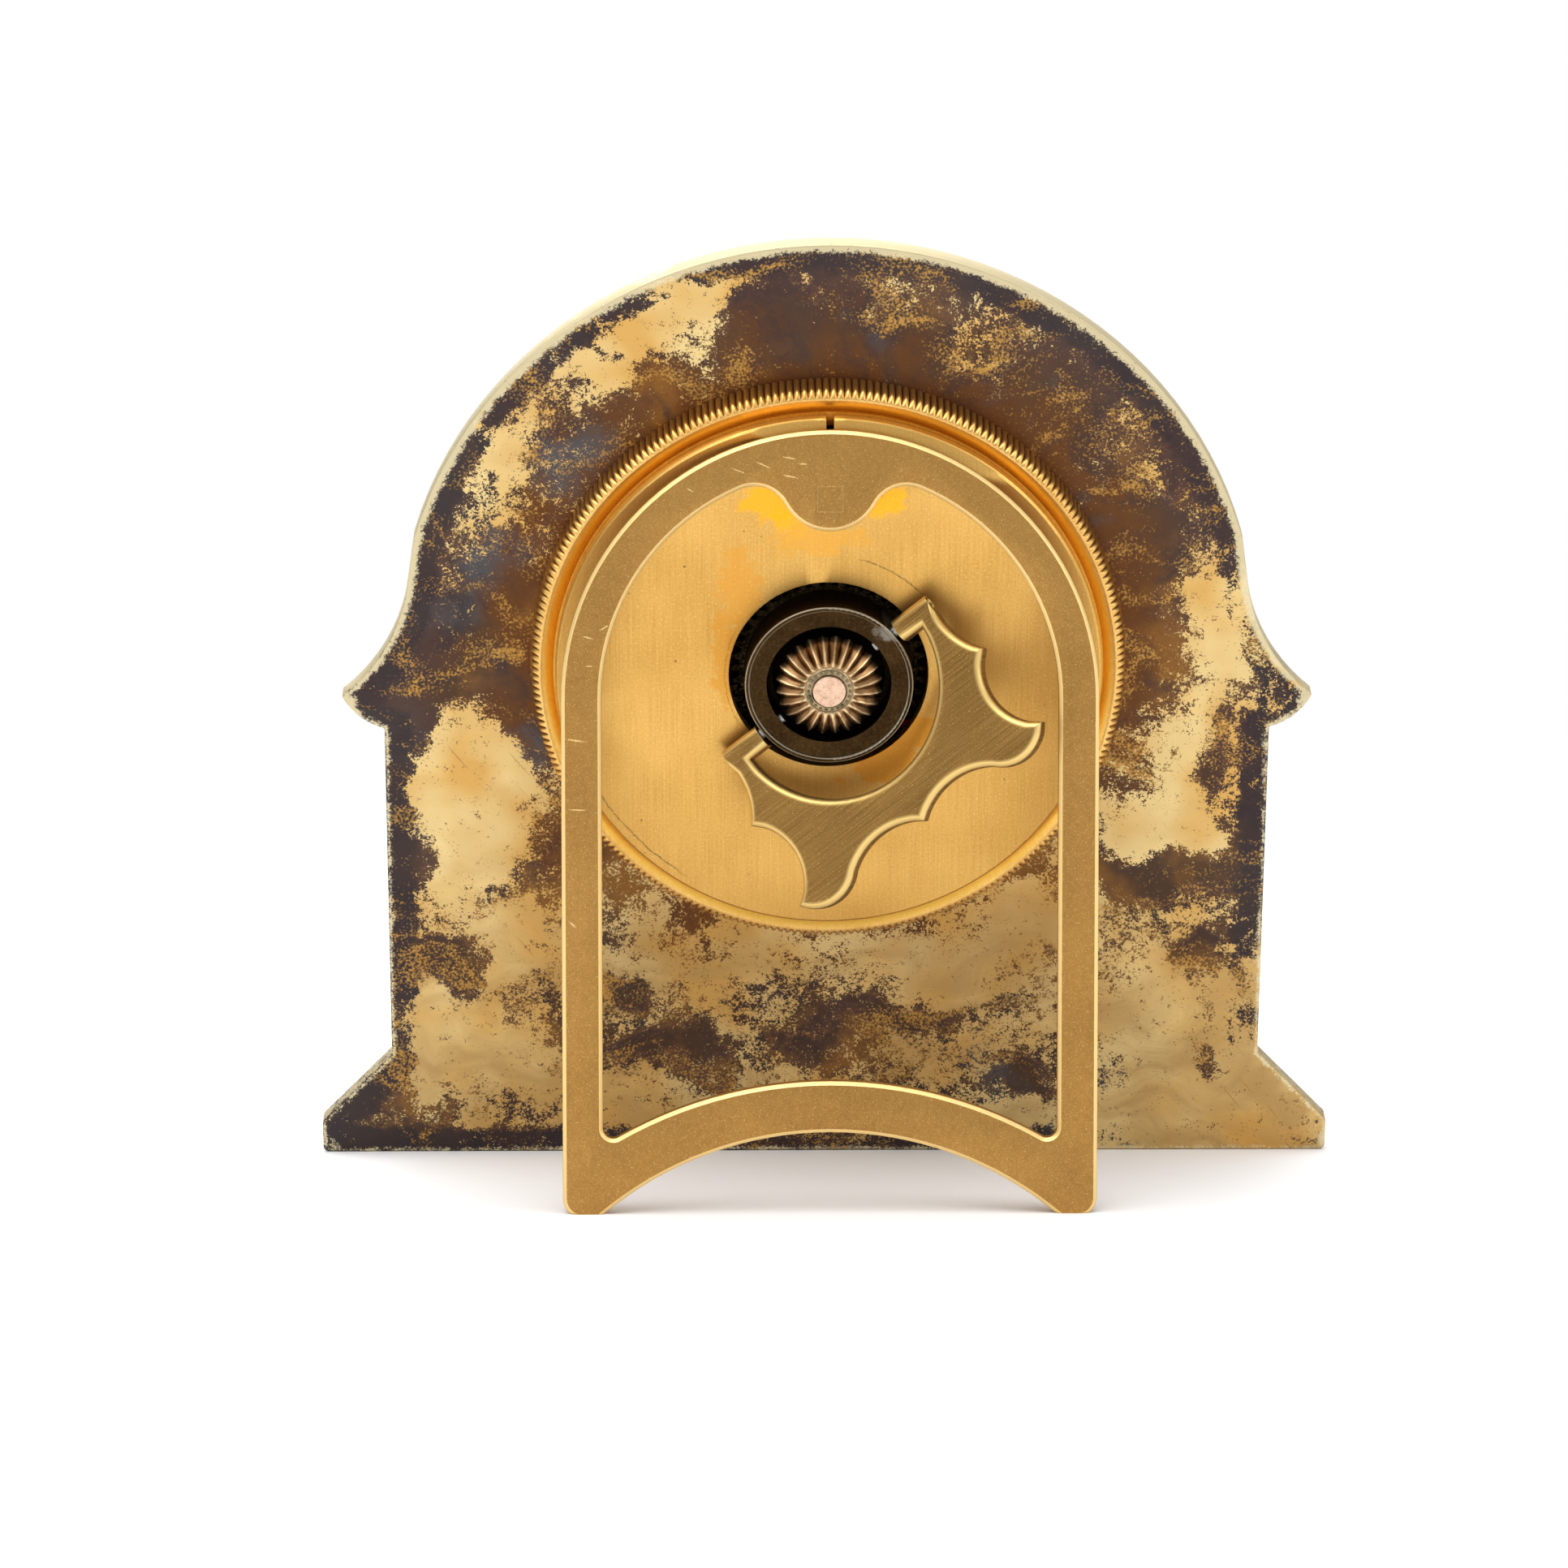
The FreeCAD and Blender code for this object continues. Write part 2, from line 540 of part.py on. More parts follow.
def wing_outline():
    """The key seen flat with its hinge along x: lugs, a side cusp, a pointed tip and the middle cusp."""
    end, lug_in = size("wing_end"), size("wing_lug_inner")
    back = size("wing_thick") / 2
    tip_x, tip_y = size("wing_tip_x"), size("wing_tip_y")
    cusp_x, cusp_y = size("wing_side_x"), size("wing_side_y")
    lug_y = size("wing_lug_length")
    swell = (0.57 * tip_x, tip_y + 0.64)
    lobe = [edge for edge in path_edges(
        (0, -size("wing_cusp")),
        ((0.28 * tip_x, -tip_y + 0.84), (swell[0], -swell[1])),
        ((0.813 * tip_x, -tip_y - 2.0), (tip_x, -tip_y)),
        ((0.822 * tip_x, -0.68 * tip_y), (cusp_x, -cusp_y)),
        ((end + 0.35, -0.612 * cusp_y), (end, -lug_y)),
        (end, back), (lug_in, back), (lug_in, -lug_y), (size("crescent_x"), -lug_y),
        (bow_down((size("crescent_x"), -lug_y), -size("crescent_depth")), (0, -size("crescent_depth"))))]
    left = [edge.mirror(Vector(), Vector(1, 0, 0)) for edge in lobe]
    return Part.Wire(Part.__sortEdges__(lobe + left))


def bow_down(end, crown):
    across, height = bow((end[0], -end[1]), -crown) if -crown > -end[1] else bow(end, crown)
    return across, -height


wing_blank = slab(wing_outline(), "-wing_thick / 2", "wing_thick / 2")
doc.recompute()
half = size("wing_thick") / 2
wing_shape = wing_blank.Shape
back_edges = [edge for edge in wing_shape.Edges
              if abs(edge.BoundBox.YMin - half) < 1e-5 and abs(edge.BoundBox.YMax - half) < 1e-5
              and edge.BoundBox.XLength > 1]
wing_shape = wing_shape.makeFillet(0.95 * half, back_edges)
wing_bar = along_x("wing_pin_radius + running_gap / 2", "-wing_end - 1", "wing_end + 1", "0", "0")
piece("winding_wing", cut(shaped(wing_shape), wing_bar), wing_lift)

# Setting knob: a fluted dome on a hub, its flat cap, and the centre arbor that it turns

knob_hub = fuse(rod("knob_hub_radius", "knob_bottom_z", "knob_rim_z - knob_rim_thick"),
                taper("knob_hub_radius", "knob_radius", "knob_rim_z - 2 * knob_rim_thick",
                      "knob_rim_z - knob_rim_thick"),
                rod("knob_radius", "knob_rim_z - knob_rim_thick", "knob_rim_z"),
                taper("knob_radius", "knob_crown", "knob_rim_z", "knob_top_z"))
groove = tube("knob_groove", "knob_cap_radius", "knob_top_z - knob_cap_depth", "knob_cap_z + 1")


def flute(turn):
    """One of the cutters round the dome, lying along its slope."""
    slope = math.atan2(size("knob_top_z") - size("knob_rim_z"), size("knob_radius") - size("knob_crown"))
    length = size("knob_radius") - size("knob_crown")
    bar = bound("Part::Cylinder", {"Radius": "flute_radius", "Height": "3 * (knob_radius - knob_crown)"})
    start = Vector(size("knob_crown") + size("flute_start") - 0.25 * length, 0,
                   size("knob_top_z") + 0.25 * length * math.tan(slope) + 0.02)
    around_axis = Rotation(Vector(0, 0, 1), turn)
    tilt = Rotation(Vector(0, 1, 0), 90 + math.degrees(slope))
    bar.Placement = Placement(around_axis.multVec(start), around_axis * tilt)
    return bar


flutes = [flute(360 * step / size("knob_flutes")) for step in range(int(size("knob_flutes")))]
knob_bore = rod("centre_arbor_radius", "knob_bottom_z - 1", "knob_rim_z - knob_bore_depth")
cap_seat = rod("knob_cap_radius", "knob_top_z - knob_cap_depth", "knob_top_z + 1")
piece("setting_knob", cut(knob_hub, groove, knob_bore, cap_seat, *flutes))
piece("knob_cap", rod("knob_cap_radius - 0.02", "knob_top_z - knob_cap_depth", "knob_cap_z"))

# Levels of the movement, from the back plate forward

back_face = "-back_plate_z"
back_inner = "-back_plate_z - movement_plate_thick"
main_inner = "-back_plate_z - movement_plate_thick - plate_space"
main_face = "-back_plate_z - 2 * movement_plate_thick - plate_space"
levels = {name: "back_plate_z + movement_plate_thick + %s" % step for name, step in (
    ("inter", 0.3), ("great", 1.0), ("fourth", 2.9), ("third", 3.9), ("centre", 4.8))}

# Axes of the train and of the motion work on the bench

centre = (0.0, 0.0)
barrel_at = around(0, 0, size("barrel_distance"), size("barrel_angle"))
inter_reach = size("inter_module") * (size("inter_teeth") + size("centre_leaves")) / 2
great_reach = size("great_module") * (size("great_teeth") + size("great_leaves")) / 2
inter_bend = math.degrees(math.acos((size("barrel_distance") ** 2 + inter_reach ** 2 - great_reach ** 2)
                                    / (2 * size("barrel_distance") * inter_reach)))
inter_at = around(0, 0, inter_reach, size("barrel_angle") - inter_bend)
third_reach = size("centre_module") * (size("centre_teeth") + size("third_leaves")) / 2
third_at = around(0, 0, third_reach, size("third_angle"))
fourth_reach = size("third_module") * (size("third_teeth") + size("fourth_leaves")) / 2
fourth_at = around(*third_at, fourth_reach, size("fourth_angle"))
escape_reach = size("fourth_module") * (size("fourth_teeth") + size("escape_leaves")) / 2
escape_at = around(*fourth_at, escape_reach, size("escape_angle"))
lever_reach = size("escape_radius") / math.cos(math.radians(30))
lever_at = around(*escape_at, lever_reach, size("lever_angle"))
balance_at = around(*lever_at, size("balance_distance"), size("fork_angle"))
minute_reach = size("motion_module") * (size("cannon_teeth") + size("minute_teeth")) / 2
minute_at = around(0, 0, minute_reach, size("minute_angle"))
hour_module = 2 * minute_reach / (size("minute_leaves") + size("hour_teeth"))
date_reach = hour_module * (size("date_pinion_teeth") + size("date_wheel_teeth")) / 2
date_at = around(0, 0, date_reach, size("date_wheel_angle"))
wind_module = 2 * size("barrel_distance") / (size("wind_teeth") + size("ratchet_teeth"))


def involute(angle):
    return math.tan(angle) - angle


def toothed(teeth, module, phase, slack=0.16, crown=0.8, root=1.1):
    """The outline of a wheel or pinion: straight-sided teeth on an involute, narrowed for easy running."""
    teeth = int(teeth)
    pitch = module * teeth / 2
    base = pitch * math.cos(math.radians(20))
    half = math.pi / (2 * teeth) * (1 - slack)

    def spread(radius):
        angle = math.acos(min(1.0, base / radius))
        return half + involute(math.radians(20)) - involute(angle)

    inner, outer = pitch - root * module, pitch + crown * module
    inner_spread = spread(max(inner, base))
    if inner < base:
        inner_spread = 0.8 * inner_spread
    stops = [(inner, -inner_spread), (pitch, -half), (outer, -spread(outer)),
             (outer, spread(outer)), (pitch, half), (inner, inner_spread)]
    points = []
    for tooth in range(teeth):
        middle = phase + 2 * math.pi * tooth / teeth
        for radius, turn in stops:
            points.append(Vector(radius * math.cos(middle + turn), radius * math.sin(middle + turn), 0))
    return Part.makePolygon(points + points[:1])


def mesh_phase(phase, teeth, other_teeth, angle):
    """The turn that puts a gap of the second wheel where the first has a tooth on their line."""
    return angle + math.pi - ((phase - angle) * teeth + math.pi) / other_teeth


def towards(start, end):
    return math.atan2(end[1] - start[1], end[0] - start[0])


def wheel(teeth, module, phase, low, high, at=centre, slack=0.16):
    gear = slab(toothed(teeth, module, phase, slack), low, high)
    gear.Base.Placement.Base = Vector(at[0], at[1], 0)
    gear.Base.setExpression("Placement.Base.z", formula(low))
    return gear


def level(name, below="0", thick="wheel_thick"):
    """The front and rear heights of a wheel on a named level."""
    rear_side = "-(%s) - %s" % (levels[name], below)
    return rear_side + " - " + thick, rear_side


def arbor(at, radius="arbor_radius"):
    """A plain arbor between the plates with a pivot into each."""
    x, y = spot(at)
    return fuse(rod(radius, main_inner + " + 0.08", back_inner + " - 0.08", x, y),
                rod("pivot_radius", main_face + " + 0.05", back_face + " - 0.05", x, y))


def spiral(at, first, pitch, turns, strip, low, high):
    """A flat coil from half circles whose centres step from side to side."""
    outer, inner = [], []
    radius = first
    side = 1
    here = Vector(at[0], at[1], 0)
    for _ in range(int(2 * turns)):
        for line, offset in ((outer, strip / 2), (inner, -strip / 2)):
            reach = radius + offset
            line.append(Part.Arc(here + Vector(side * reach, 0, 0), here + Vector(0, side * reach, 0),
                                 here - Vector(side * reach, 0, 0)).toShape())
        here = here + Vector(side * pitch / 2, 0, 0)
        radius += pitch / 2
        side = -side
    ends = [Part.LineSegment(inner[0].firstVertex().Point, outer[0].firstVertex().Point).toShape(),
            Part.LineSegment(inner[-1].lastVertex().Point, outer[-1].lastVertex().Point).toShape()]
    return slab(Part.Wire(Part.__sortEdges__(outer + inner + ends)), low, high)


# Winding wheel on the ring, the bush that both turn on, and the ratchet with its click

wind_low, wind_high = "-wind_wheel_top - wind_wheel_thick", "-wind_wheel_top"
wind_angle = towards(centre, barrel_at)
wind_blank = wheel(size("wind_teeth"), wind_module, 0, wind_low, wind_high)
piece("winding_wheel", cut(wind_blank, rod("wind_outer", "-back_plate_z - 1", "wind_face")))
bush_flange = rod("wind_outer - 0.4", "-back_plate_z", "-back_plate_z + bush_flange_thick")
bush_sleeve = rod("wind_inner - running_gap", "-back_plate_z", "-wind_bush_top")
bush_bore = rod("wind_bush_bore", "-back_plate_z - 1", "1")
piece("winding_bush", cut(fuse(bush_flange, bush_sleeve), bush_bore))

barrel_x, barrel_y = spot(barrel_at)
ratchet_phase = mesh_phase(0, size("wind_teeth"), size("ratchet_teeth"), wind_angle)
ratchet_blank = wheel(size("ratchet_teeth"), wind_module, ratchet_phase, wind_low, wind_high, barrel_at)
piece("ratchet_wheel", cut(ratchet_blank, rod("barrel_arbor_radius", "-back_plate_z - 1", "0",
                                              barrel_x, barrel_y)))
piece("barrel_arbor", rod("barrel_arbor_radius", main_face + " + 0.1", "-cover_thick - 0.2",
                          barrel_x, barrel_y))

ratchet_tip = wind_module * (size("ratchet_teeth") / 2 + 0.8)
click_turn = math.radians(size("click_angle"))
click_at = around(*barrel_at, ratchet_tip + size("click_distance"), size("click_angle"))


def turned(points, at, angle):
    """Flat points given along and across a direction, set out from a point."""
    along, across = (math.cos(angle), math.sin(angle)), (-math.sin(angle), math.cos(angle))
    return [Vector(at[0] + u * along[0] + v * across[0], at[1] + u * along[1] + v * across[1], 0)
            for u, v in points]


def polygon(points):
    return Part.makePolygon(points + points[:1])


click_x, click_y = spot(click_at)
click_points = [(0.4, -1.1), (0.9, 0.2), (-1.2, 3.6), (-1.95, 4.0), (-1.75, 3.2), (-1.1, 0.3),
                (-0.7, -0.9)]
click_arm = slab(polygon(turned(click_points, click_at, click_turn)), wind_low, wind_high)
click_eye = rod("2 * screw_radius", wind_low, wind_high, click_x, click_y)
click_post_low = "-back_plate_z - screw_reach - 0.1"
click_hole = rod("screw_radius + running_gap", "-back_plate_z - 1", "0", click_x, click_y)
piece("click", cut(fuse(click_arm, click_eye), click_hole))
click_head_low = "-wind_wheel_top + 0.1"
piece("click_screw", fuse(
    rod("screw_radius", click_post_low, click_head_low, click_x, click_y),
    rod("screw_head_radius", click_head_low, "-cover_thick - 0.1", click_x, click_y),
    rod("screw_head_radius", "-back_plate_z", wind_low + " - 0.1", click_x, click_y)))
spring_points = [(1.3, 3.0), (1.6, 3.0), (2.1, -1.6), (3.2, -3.4), (2.2, -4.4), (1.2, -3.4), (1.75, -1.6)]
click_spring_at = turned([(2.2, -3.5)], click_at, click_turn)[0]
spring_x, spring_y = spot(click_spring_at)
click_spring_bar = slab(polygon(turned(spring_points, click_at, click_turn)), wind_low, wind_high)
click_spring_foot = rod("screw_radius", click_post_low, wind_high, spring_x, spring_y)
piece("click_spring", fuse(click_spring_bar, click_spring_foot))

# Movement plates, pillars and their screws, jewels in the plates

pillar_angles = (45, 120, 255, 330)
jewelled = (third_at, fourth_at, escape_at, lever_at, balance_at)
rear_holes = [rod("jewel_radius", "-back_plate_z - 4", "0", *spot(point)) for point in jewelled]
front_holes = [rod("jewel_radius", main_face + " - 1", main_inner + " + 1", *spot(point))
               for point in jewelled]
for holes, low, high in ((rear_holes, back_inner, back_face), (front_holes, main_face, main_inner)):
    holes.append(rod("pivot_radius + 0.03", low + " - 1", high + " + 1", *spot(inter_at)))
    holes.append(rod("barrel_arbor_radius + running_gap", low + " - 1", high + " + 1", barrel_x, barrel_y))
    holes.append(rod("centre_arbor_radius + running_gap", low + " - 1", high + " + 1"))
    holes.extend(ring_of_rods("screw_radius", "pillar_ring", pillar_angles, low + " - 1", high + " + 1"))
rear_holes.append(rod("screw_radius", click_post_low, "0", click_x, click_y))
rear_holes.append(rod("screw_radius", click_post_low, "0", spring_x, spring_y))
stud_at = around(*balance_at, size("hairspring_turns") * size("hairspring_pitch") + 1.35, 20)
rear_holes.append(rod("pivot_radius", back_inner + " - 1", back_inner + " + screw_reach", *spot(stud_at)))
piece("back_plate", cut(rod("movement_radius", back_inner, back_face), *rear_holes))

jumper_foot = around(0, 0, 11.5, 310)
for point in (minute_at, date_at, jumper_foot):
    front_holes.append(rod("stud_radius", main_face + " - 1", main_face + " + screw_reach", *spot(point)))
front_holes.extend(ring_of_rods("small_screw_radius", "ledge_screw_ring", case_screw_angles,
                                main_face + " - 1", main_inner + " + 1"))
piece("main_plate", cut(rod("movement_radius", main_face, main_inner), *front_holes))



def at_pillars(radius, low, high):
    return ring_of_rods(radius, "pillar_ring", pillar_angles, low, high)


pillar_bores = (at_pillars("screw_radius", back_inner + " - screw_reach - 0.1", back_inner + " + 1")
                + at_pillars("screw_radius", main_inner + " - 1", main_inner + " + screw_reach + 0.1"))
piece("pillars", cut(group(*at_pillars("pillar_radius", main_inner, back_inner)), *pillar_bores))
rear_shanks = at_pillars("screw_radius", back_inner + " - screw_reach", back_face + " + 0.1")
rear_heads = at_pillars("screw_head_radius", back_face, back_face + " + screw_head_thick")
front_shanks = at_pillars("screw_radius", main_face + " - 0.1", main_inner + " + screw_reach")
front_heads = at_pillars("screw_head_radius", main_face + " - screw_head_thick", main_face)
piece("pillar_screws", fuse(*rear_shanks, *rear_heads, *front_shanks, *front_heads))
case_shanks = ring_of_rods("small_screw_radius", "ledge_screw_ring", case_screw_angles,
                           "-dial_z + ledge_thick - ledge_screw_reach", main_inner + " + 0.1")
case_heads = ring_of_rods("small_head_radius", "ledge_screw_ring", case_screw_angles,
                          main_inner, main_inner + " + small_head_thick")
piece("case_screws", fuse(*case_shanks, *case_heads))


def jewel(point, low, high):
    x, y = spot(point)
    hole = rod("pivot_radius + 0.03", low + " - 1", high + " + 1", x, y)
    return cut(rod("jewel_radius", low, high, x, y), hole)


piece("pivot_jewels", group(*[jewel(point, low, high) for point in jewelled
                              for low, high in ((back_inner, back_face), (main_face, main_inner))]))

# Going train: barrel with its great wheel, cover and spring, then wheels and pinions up to the balance

great_low, great_high = level("great", thick="2 * wheel_thick")
barrel_low = main_inner + " + 0.4"
barrel_bore = rod("barrel_arbor_radius + running_gap", barrel_low + " - 1", great_high + " + 1",
                  barrel_x, barrel_y)
barrel_wall = cut(rod("barrel_radius", barrel_low, great_low, barrel_x, barrel_y),
                  rod("barrel_radius - barrel_wall", barrel_low + " - 1", great_low, barrel_x, barrel_y))
great_wheel = wheel(size("great_teeth"), size("great_module"), 0, great_low, great_high, barrel_at)
piece("barrel", cut(fuse(great_wheel, barrel_wall), barrel_bore))
barrel_lid = rod("barrel_radius - barrel_wall - 0.01", barrel_low, barrel_low + " + wheel_thick",
                 barrel_x, barrel_y)
piece("barrel_cover", cut(barrel_lid, barrel_bore))
piece("mainspring", spiral(barrel_at, size("barrel_arbor_radius") + 0.8, size("mainspring_pitch"),
                           size("mainspring_turns"), size("mainspring_strip"),
                           barrel_low + " + wheel_thick + 0.1", great_low + " - 0.1"))

inter_low, inter_high = level("inter")
inter_angle = towards(barrel_at, inter_at)
inter_phase = mesh_phase(0, size("great_teeth"), size("great_leaves"), inter_angle)
centre_low, centre_high = level("centre", thick="wheel_thick + 0.1")
third_low, third_high = level("third")
fourth_low, fourth_high = level("fourth")


def train_wheel(name, phase, low, high, at):
    """A gear or pinion of the train, whose teeth and module are named for it."""
    module = {"great_leaves": "great", "centre_leaves": "inter", "third_leaves": "centre",
              "fourth_leaves": "third", "escape_leaves": "fourth"}.get(name, name.split("_")[0])
    return wheel(size(name), size(module + "_module"), phase, low, high, at)


def next_phase(phase, driver, pinion, start, end):
    return mesh_phase(phase, size(driver), size(pinion), towards(start, end))


piece("intermediate_wheel", fuse(
    arbor(inter_at),
    train_wheel("inter_teeth", inter_phase, inter_low, inter_high, inter_at),
    train_wheel("great_leaves", inter_phase, great_low, inter_low, inter_at)))

centre_phase = next_phase(inter_phase, "inter_teeth", "centre_leaves", inter_at, centre)
centre_set = fuse(
    rod("pipe_radius", main_inner + " + 0.1", back_inner + " - 0.1"),
    train_wheel("centre_leaves", centre_phase, inter_low + " - 0.1", inter_high, centre),
    train_wheel("centre_teeth", centre_phase, centre_low, centre_high, centre))
piece("centre_wheel", cut(centre_set, rod("centre_arbor_radius + running_gap", main_face, back_face)))

third_phase = next_phase(centre_phase, "centre_teeth", "third_leaves", centre, third_at)
piece("third_wheel", fuse(
    arbor(third_at),
    train_wheel("third_leaves", third_phase, centre_low, centre_high, third_at),
    train_wheel("third_teeth", third_phase, third_low, third_high, third_at)))
fourth_phase = next_phase(third_phase, "third_teeth", "fourth_leaves", third_at, fourth_at)
piece("fourth_wheel", fuse(
    arbor(fourth_at),
    train_wheel("fourth_leaves", fourth_phase, third_low, third_high, fourth_at),
    train_wheel("fourth_teeth", fourth_phase, fourth_low, fourth_high, fourth_at)))
escape_phase = next_phase(fourth_phase, "fourth_teeth", "escape_leaves", fourth_at, escape_at)
lever_line = towards(escape_at, lever_at)


def escape_outline():
    points = []
    for tooth in range(int(size("escape_teeth"))):
        middle = lever_line + 2 * math.pi * tooth / size("escape_teeth")
        for share, turn in ((0.76, -5.5), (1.0, -1.2), (1.0, 1.2), (0.76, 3.0)):
            angle = middle + math.radians(turn)
            points.append(Vector(share * size("escape_radius") * math.cos(angle),
                                 share * size("escape_radius") * math.sin(angle), 0))
    return polygon(points)


escape_low, escape_high = third_low, third_high + " - 0.1"
escape_disc = slab(escape_outline(), escape_low, escape_high)
escape_disc.Base.Placement.Base = Vector(escape_at[0], escape_at[1], 0)
escape_disc.Base.setExpression("Placement.Base.z", formula(escape_low))
piece("escape_wheel", fuse(
    arbor(escape_at), escape_disc,
    train_wheel("escape_leaves", escape_phase, fourth_low, fourth_high, escape_at)))

# Pallet lever: two arms with stones over the escape wheel, and a fork towards the balance

fork_turn = towards(lever_at, balance_at)
width = size("lever_width") / 2


def oblong(start, end, half, at, angle):
    """The corners of a flat bar along a direction."""
    return polygon(turned([(start, -half), (end, -half), (end, half), (start, half)], at, angle))


stones = []
arms = []
for side in (1, -1):
    stone_angle = lever_line + side * math.radians(30)
    reach = size("escape_radius") + 0.05 + size("stone_length") / 2
    stone_at = around(*escape_at, reach, math.degrees(stone_angle))
    half_stone = size("stone_length") / 2
    stone = oblong(-half_stone, half_stone, size("stone_half"), stone_at, stone_angle)
    stones.append(slab(stone, escape_low, escape_high))
    arm = oblong(0, math.dist(lever_at, stone_at), width, lever_at, towards(lever_at, stone_at))
    arms.append(slab(arm, escape_low, escape_high))
fork_end, prong, slot = size("fork_length"), size("fork_half"), size("fork_slot_half")
fork_half = [(fork_end - 0.4, 0.8 * slot), (fork_end, slot), (fork_end, prong), (fork_end - 0.5, prong),
             (0.78 * fork_end, width), (0, width)]
fork_points = [(along, -across) for along, across in reversed(fork_half)] + fork_half
fork = slab(polygon(turned(fork_points, lever_at, fork_turn)), escape_low, escape_high)
lever_room = rod("escape_radius + 0.04", escape_low + " - 1", escape_high + " + 1", *spot(escape_at))
piece("pallet_lever", fuse(arbor(lever_at), cut(fuse(fork, *arms, *stones), lever_room)))

# Balance: rim with a bar, staff, roller and impulse pin; hairspring on its collet, and the stud

balance_x, balance_y = spot(balance_at)
balance_low, balance_high = fourth_low + " - 0.1", fourth_high + " + 0.3"
rim = cut(rod("balance_radius", balance_low, balance_high, balance_x, balance_y),
          rod("balance_radius - balance_rim", balance_low + " - 1", balance_high + " + 1",
              balance_x, balance_y))
bar_reach = size("balance_radius") - 0.3
bar_outline = oblong(-bar_reach, bar_reach, size("balance_bar_half"), balance_at,
                     math.radians(size("balance_bar_angle")))
bar = slab(bar_outline, balance_low, balance_high)
pin_at = around(*balance_at, -size("impulse_radius"), size("fork_angle"))
roller = rod("roller_radius", balance_low + " - 0.4", balance_low + " - 0.15", balance_x, balance_y)
impulse_pin = rod("pivot_radius - 0.07", escape_low, balance_low + " - 0.2", *spot(pin_at))
piece("balance_wheel", fuse(rim, bar, roller, impulse_pin, arbor(balance_at)))
hair_low, hair_high = back_inner + " - 0.7 - hairspring_high", back_inner + " - 0.7"
collet = cut(rod("2 * arbor_radius", hair_low, hair_high + " + 0.1", balance_x, balance_y),
             rod("arbor_radius", hair_low + " - 1", hair_high + " + 1", balance_x, balance_y))
coil = spiral(balance_at, 2 * size("arbor_radius") - 0.02, size("hairspring_pitch"),
              size("hairspring_turns"), size("hairspring_strip"), hair_low, hair_high)
piece("hairspring", fuse(collet, coil))
piece("hairspring_stud", fuse(
    rod("pivot_radius", back_inner + " - 0.1", back_inner + " + screw_reach", *spot(stud_at)),
    rod("1.6 * pivot_radius", hair_low, back_inner, *spot(stud_at))))

# Centre arbor, motion work and calendar behind the dial

piece("centre_arbor", rod("centre_arbor_radius", "-hand_tip_z", "knob_rim_z - knob_bore_depth"))
cannon_low, cannon_high = main_face + " - 0.2 - wheel_thick", main_face + " - 0.2"
hour_low, hour_high = cannon_low + " - 0.1 - wheel_thick", cannon_low + " - 0.1"
date_low, date_high = hour_low + " - 0.5", hour_low + " - 0.2"
cannon_phase = 0.0
cannon_pipe_radius = "centre_arbor_radius + cannon_wall"
cannon_blank = fuse(
    wheel(size("cannon_teeth"), size("motion_module"), cannon_phase, cannon_low, cannon_high),
    rod(cannon_pipe_radius, "-hand_tip_z + 0.2", cannon_high))
piece("cannon_pinion", cut(cannon_blank, rod("centre_arbor_radius", "-hand_tip_z - 1", main_face)))
minute_phase = next_phase(cannon_phase, "cannon_teeth", "minute_teeth", centre, minute_at)
minute_x, minute_y = spot(minute_at)
minute_blank = fuse(
    wheel(size("minute_teeth"), size("motion_module"), minute_phase, cannon_low, cannon_high, minute_at),
    wheel(size("minute_leaves"), hour_module, minute_phase, hour_low, cannon_high, minute_at))
minute_bore = rod("stud_radius + running_gap", "-dial_z", main_face, minute_x, minute_y)
piece("minute_wheel", cut(minute_blank, minute_bore))
piece("minute_wheel_stud", rod("stud_radius", hour_low + " - 0.1", main_face + " + screw_reach",
                               minute_x, minute_y))

hour_phase = next_phase(minute_phase, "minute_leaves", "hour_teeth", minute_at, centre)
hour_pipe_radius = cannon_pipe_radius + " + running_gap + hour_wall"
hour_blank = fuse(wheel(size("hour_teeth"), hour_module, hour_phase, hour_low, hour_high),
                  wheel(size("date_pinion_teeth"), hour_module, hour_phase, date_low, date_high),
                  rod(hour_pipe_radius, "-hour_hand_z - hand_thick", hour_high))
hour_bore = rod(cannon_pipe_radius + " + running_gap", "-hand_tip_z - 1", main_face)
piece("hour_wheel", cut(hour_blank, hour_bore))

date_x, date_y = spot(date_at)
date_phase = next_phase(hour_phase, "date_pinion_teeth", "date_wheel_teeth", centre, date_at)
finger_turn = math.radians(size("date_wheel_angle") + 150)
finger_low, finger_high = date_low + " - 0.35", date_low + " - 0.05"
finger_end = size("date_finger")
finger_points = [(0, -0.6), (finger_end - 0.5, -0.25), (finger_end, 0), (finger_end - 0.5, 0.25), (0, 0.6)]
finger = slab(polygon(turned(finger_points, date_at, finger_turn)), finger_low, finger_high)
date_blank = fuse(wheel(size("date_wheel_teeth"), hour_module, date_phase, date_low, date_high, date_at),
                  rod("2 * stud_radius", finger_low, date_high, date_x, date_y), finger)
date_bore = rod("stud_radius + running_gap", "-dial_z", main_face, date_x, date_y)
piece("date_wheel", cut(date_blank, date_bore))
piece("date_wheel_stud", rod("stud_radius", finger_low, main_face + " + screw_reach", date_x, date_y))

jumper_angle = math.radians(size("jumper_angle"))


def date_ring_inside():
    """The ring's toothed bore; a gap stands at the jumper."""
    points = []
    teeth = int(size("date_teeth"))
    for tooth in range(teeth):
        middle = jumper_angle + 2 * math.pi * (tooth + 0.5) / teeth
        for radius, turn in ((size("date_ring_root"), -2.4), (size("date_ring_tip"), -1.0),
                             (size("date_ring_tip"), 1.0), (size("date_ring_root"), 2.4)):
            angle = middle + math.radians(turn)
            points.append(Vector(radius * math.cos(angle), radius * math.sin(angle), 0))
    return polygon(points)


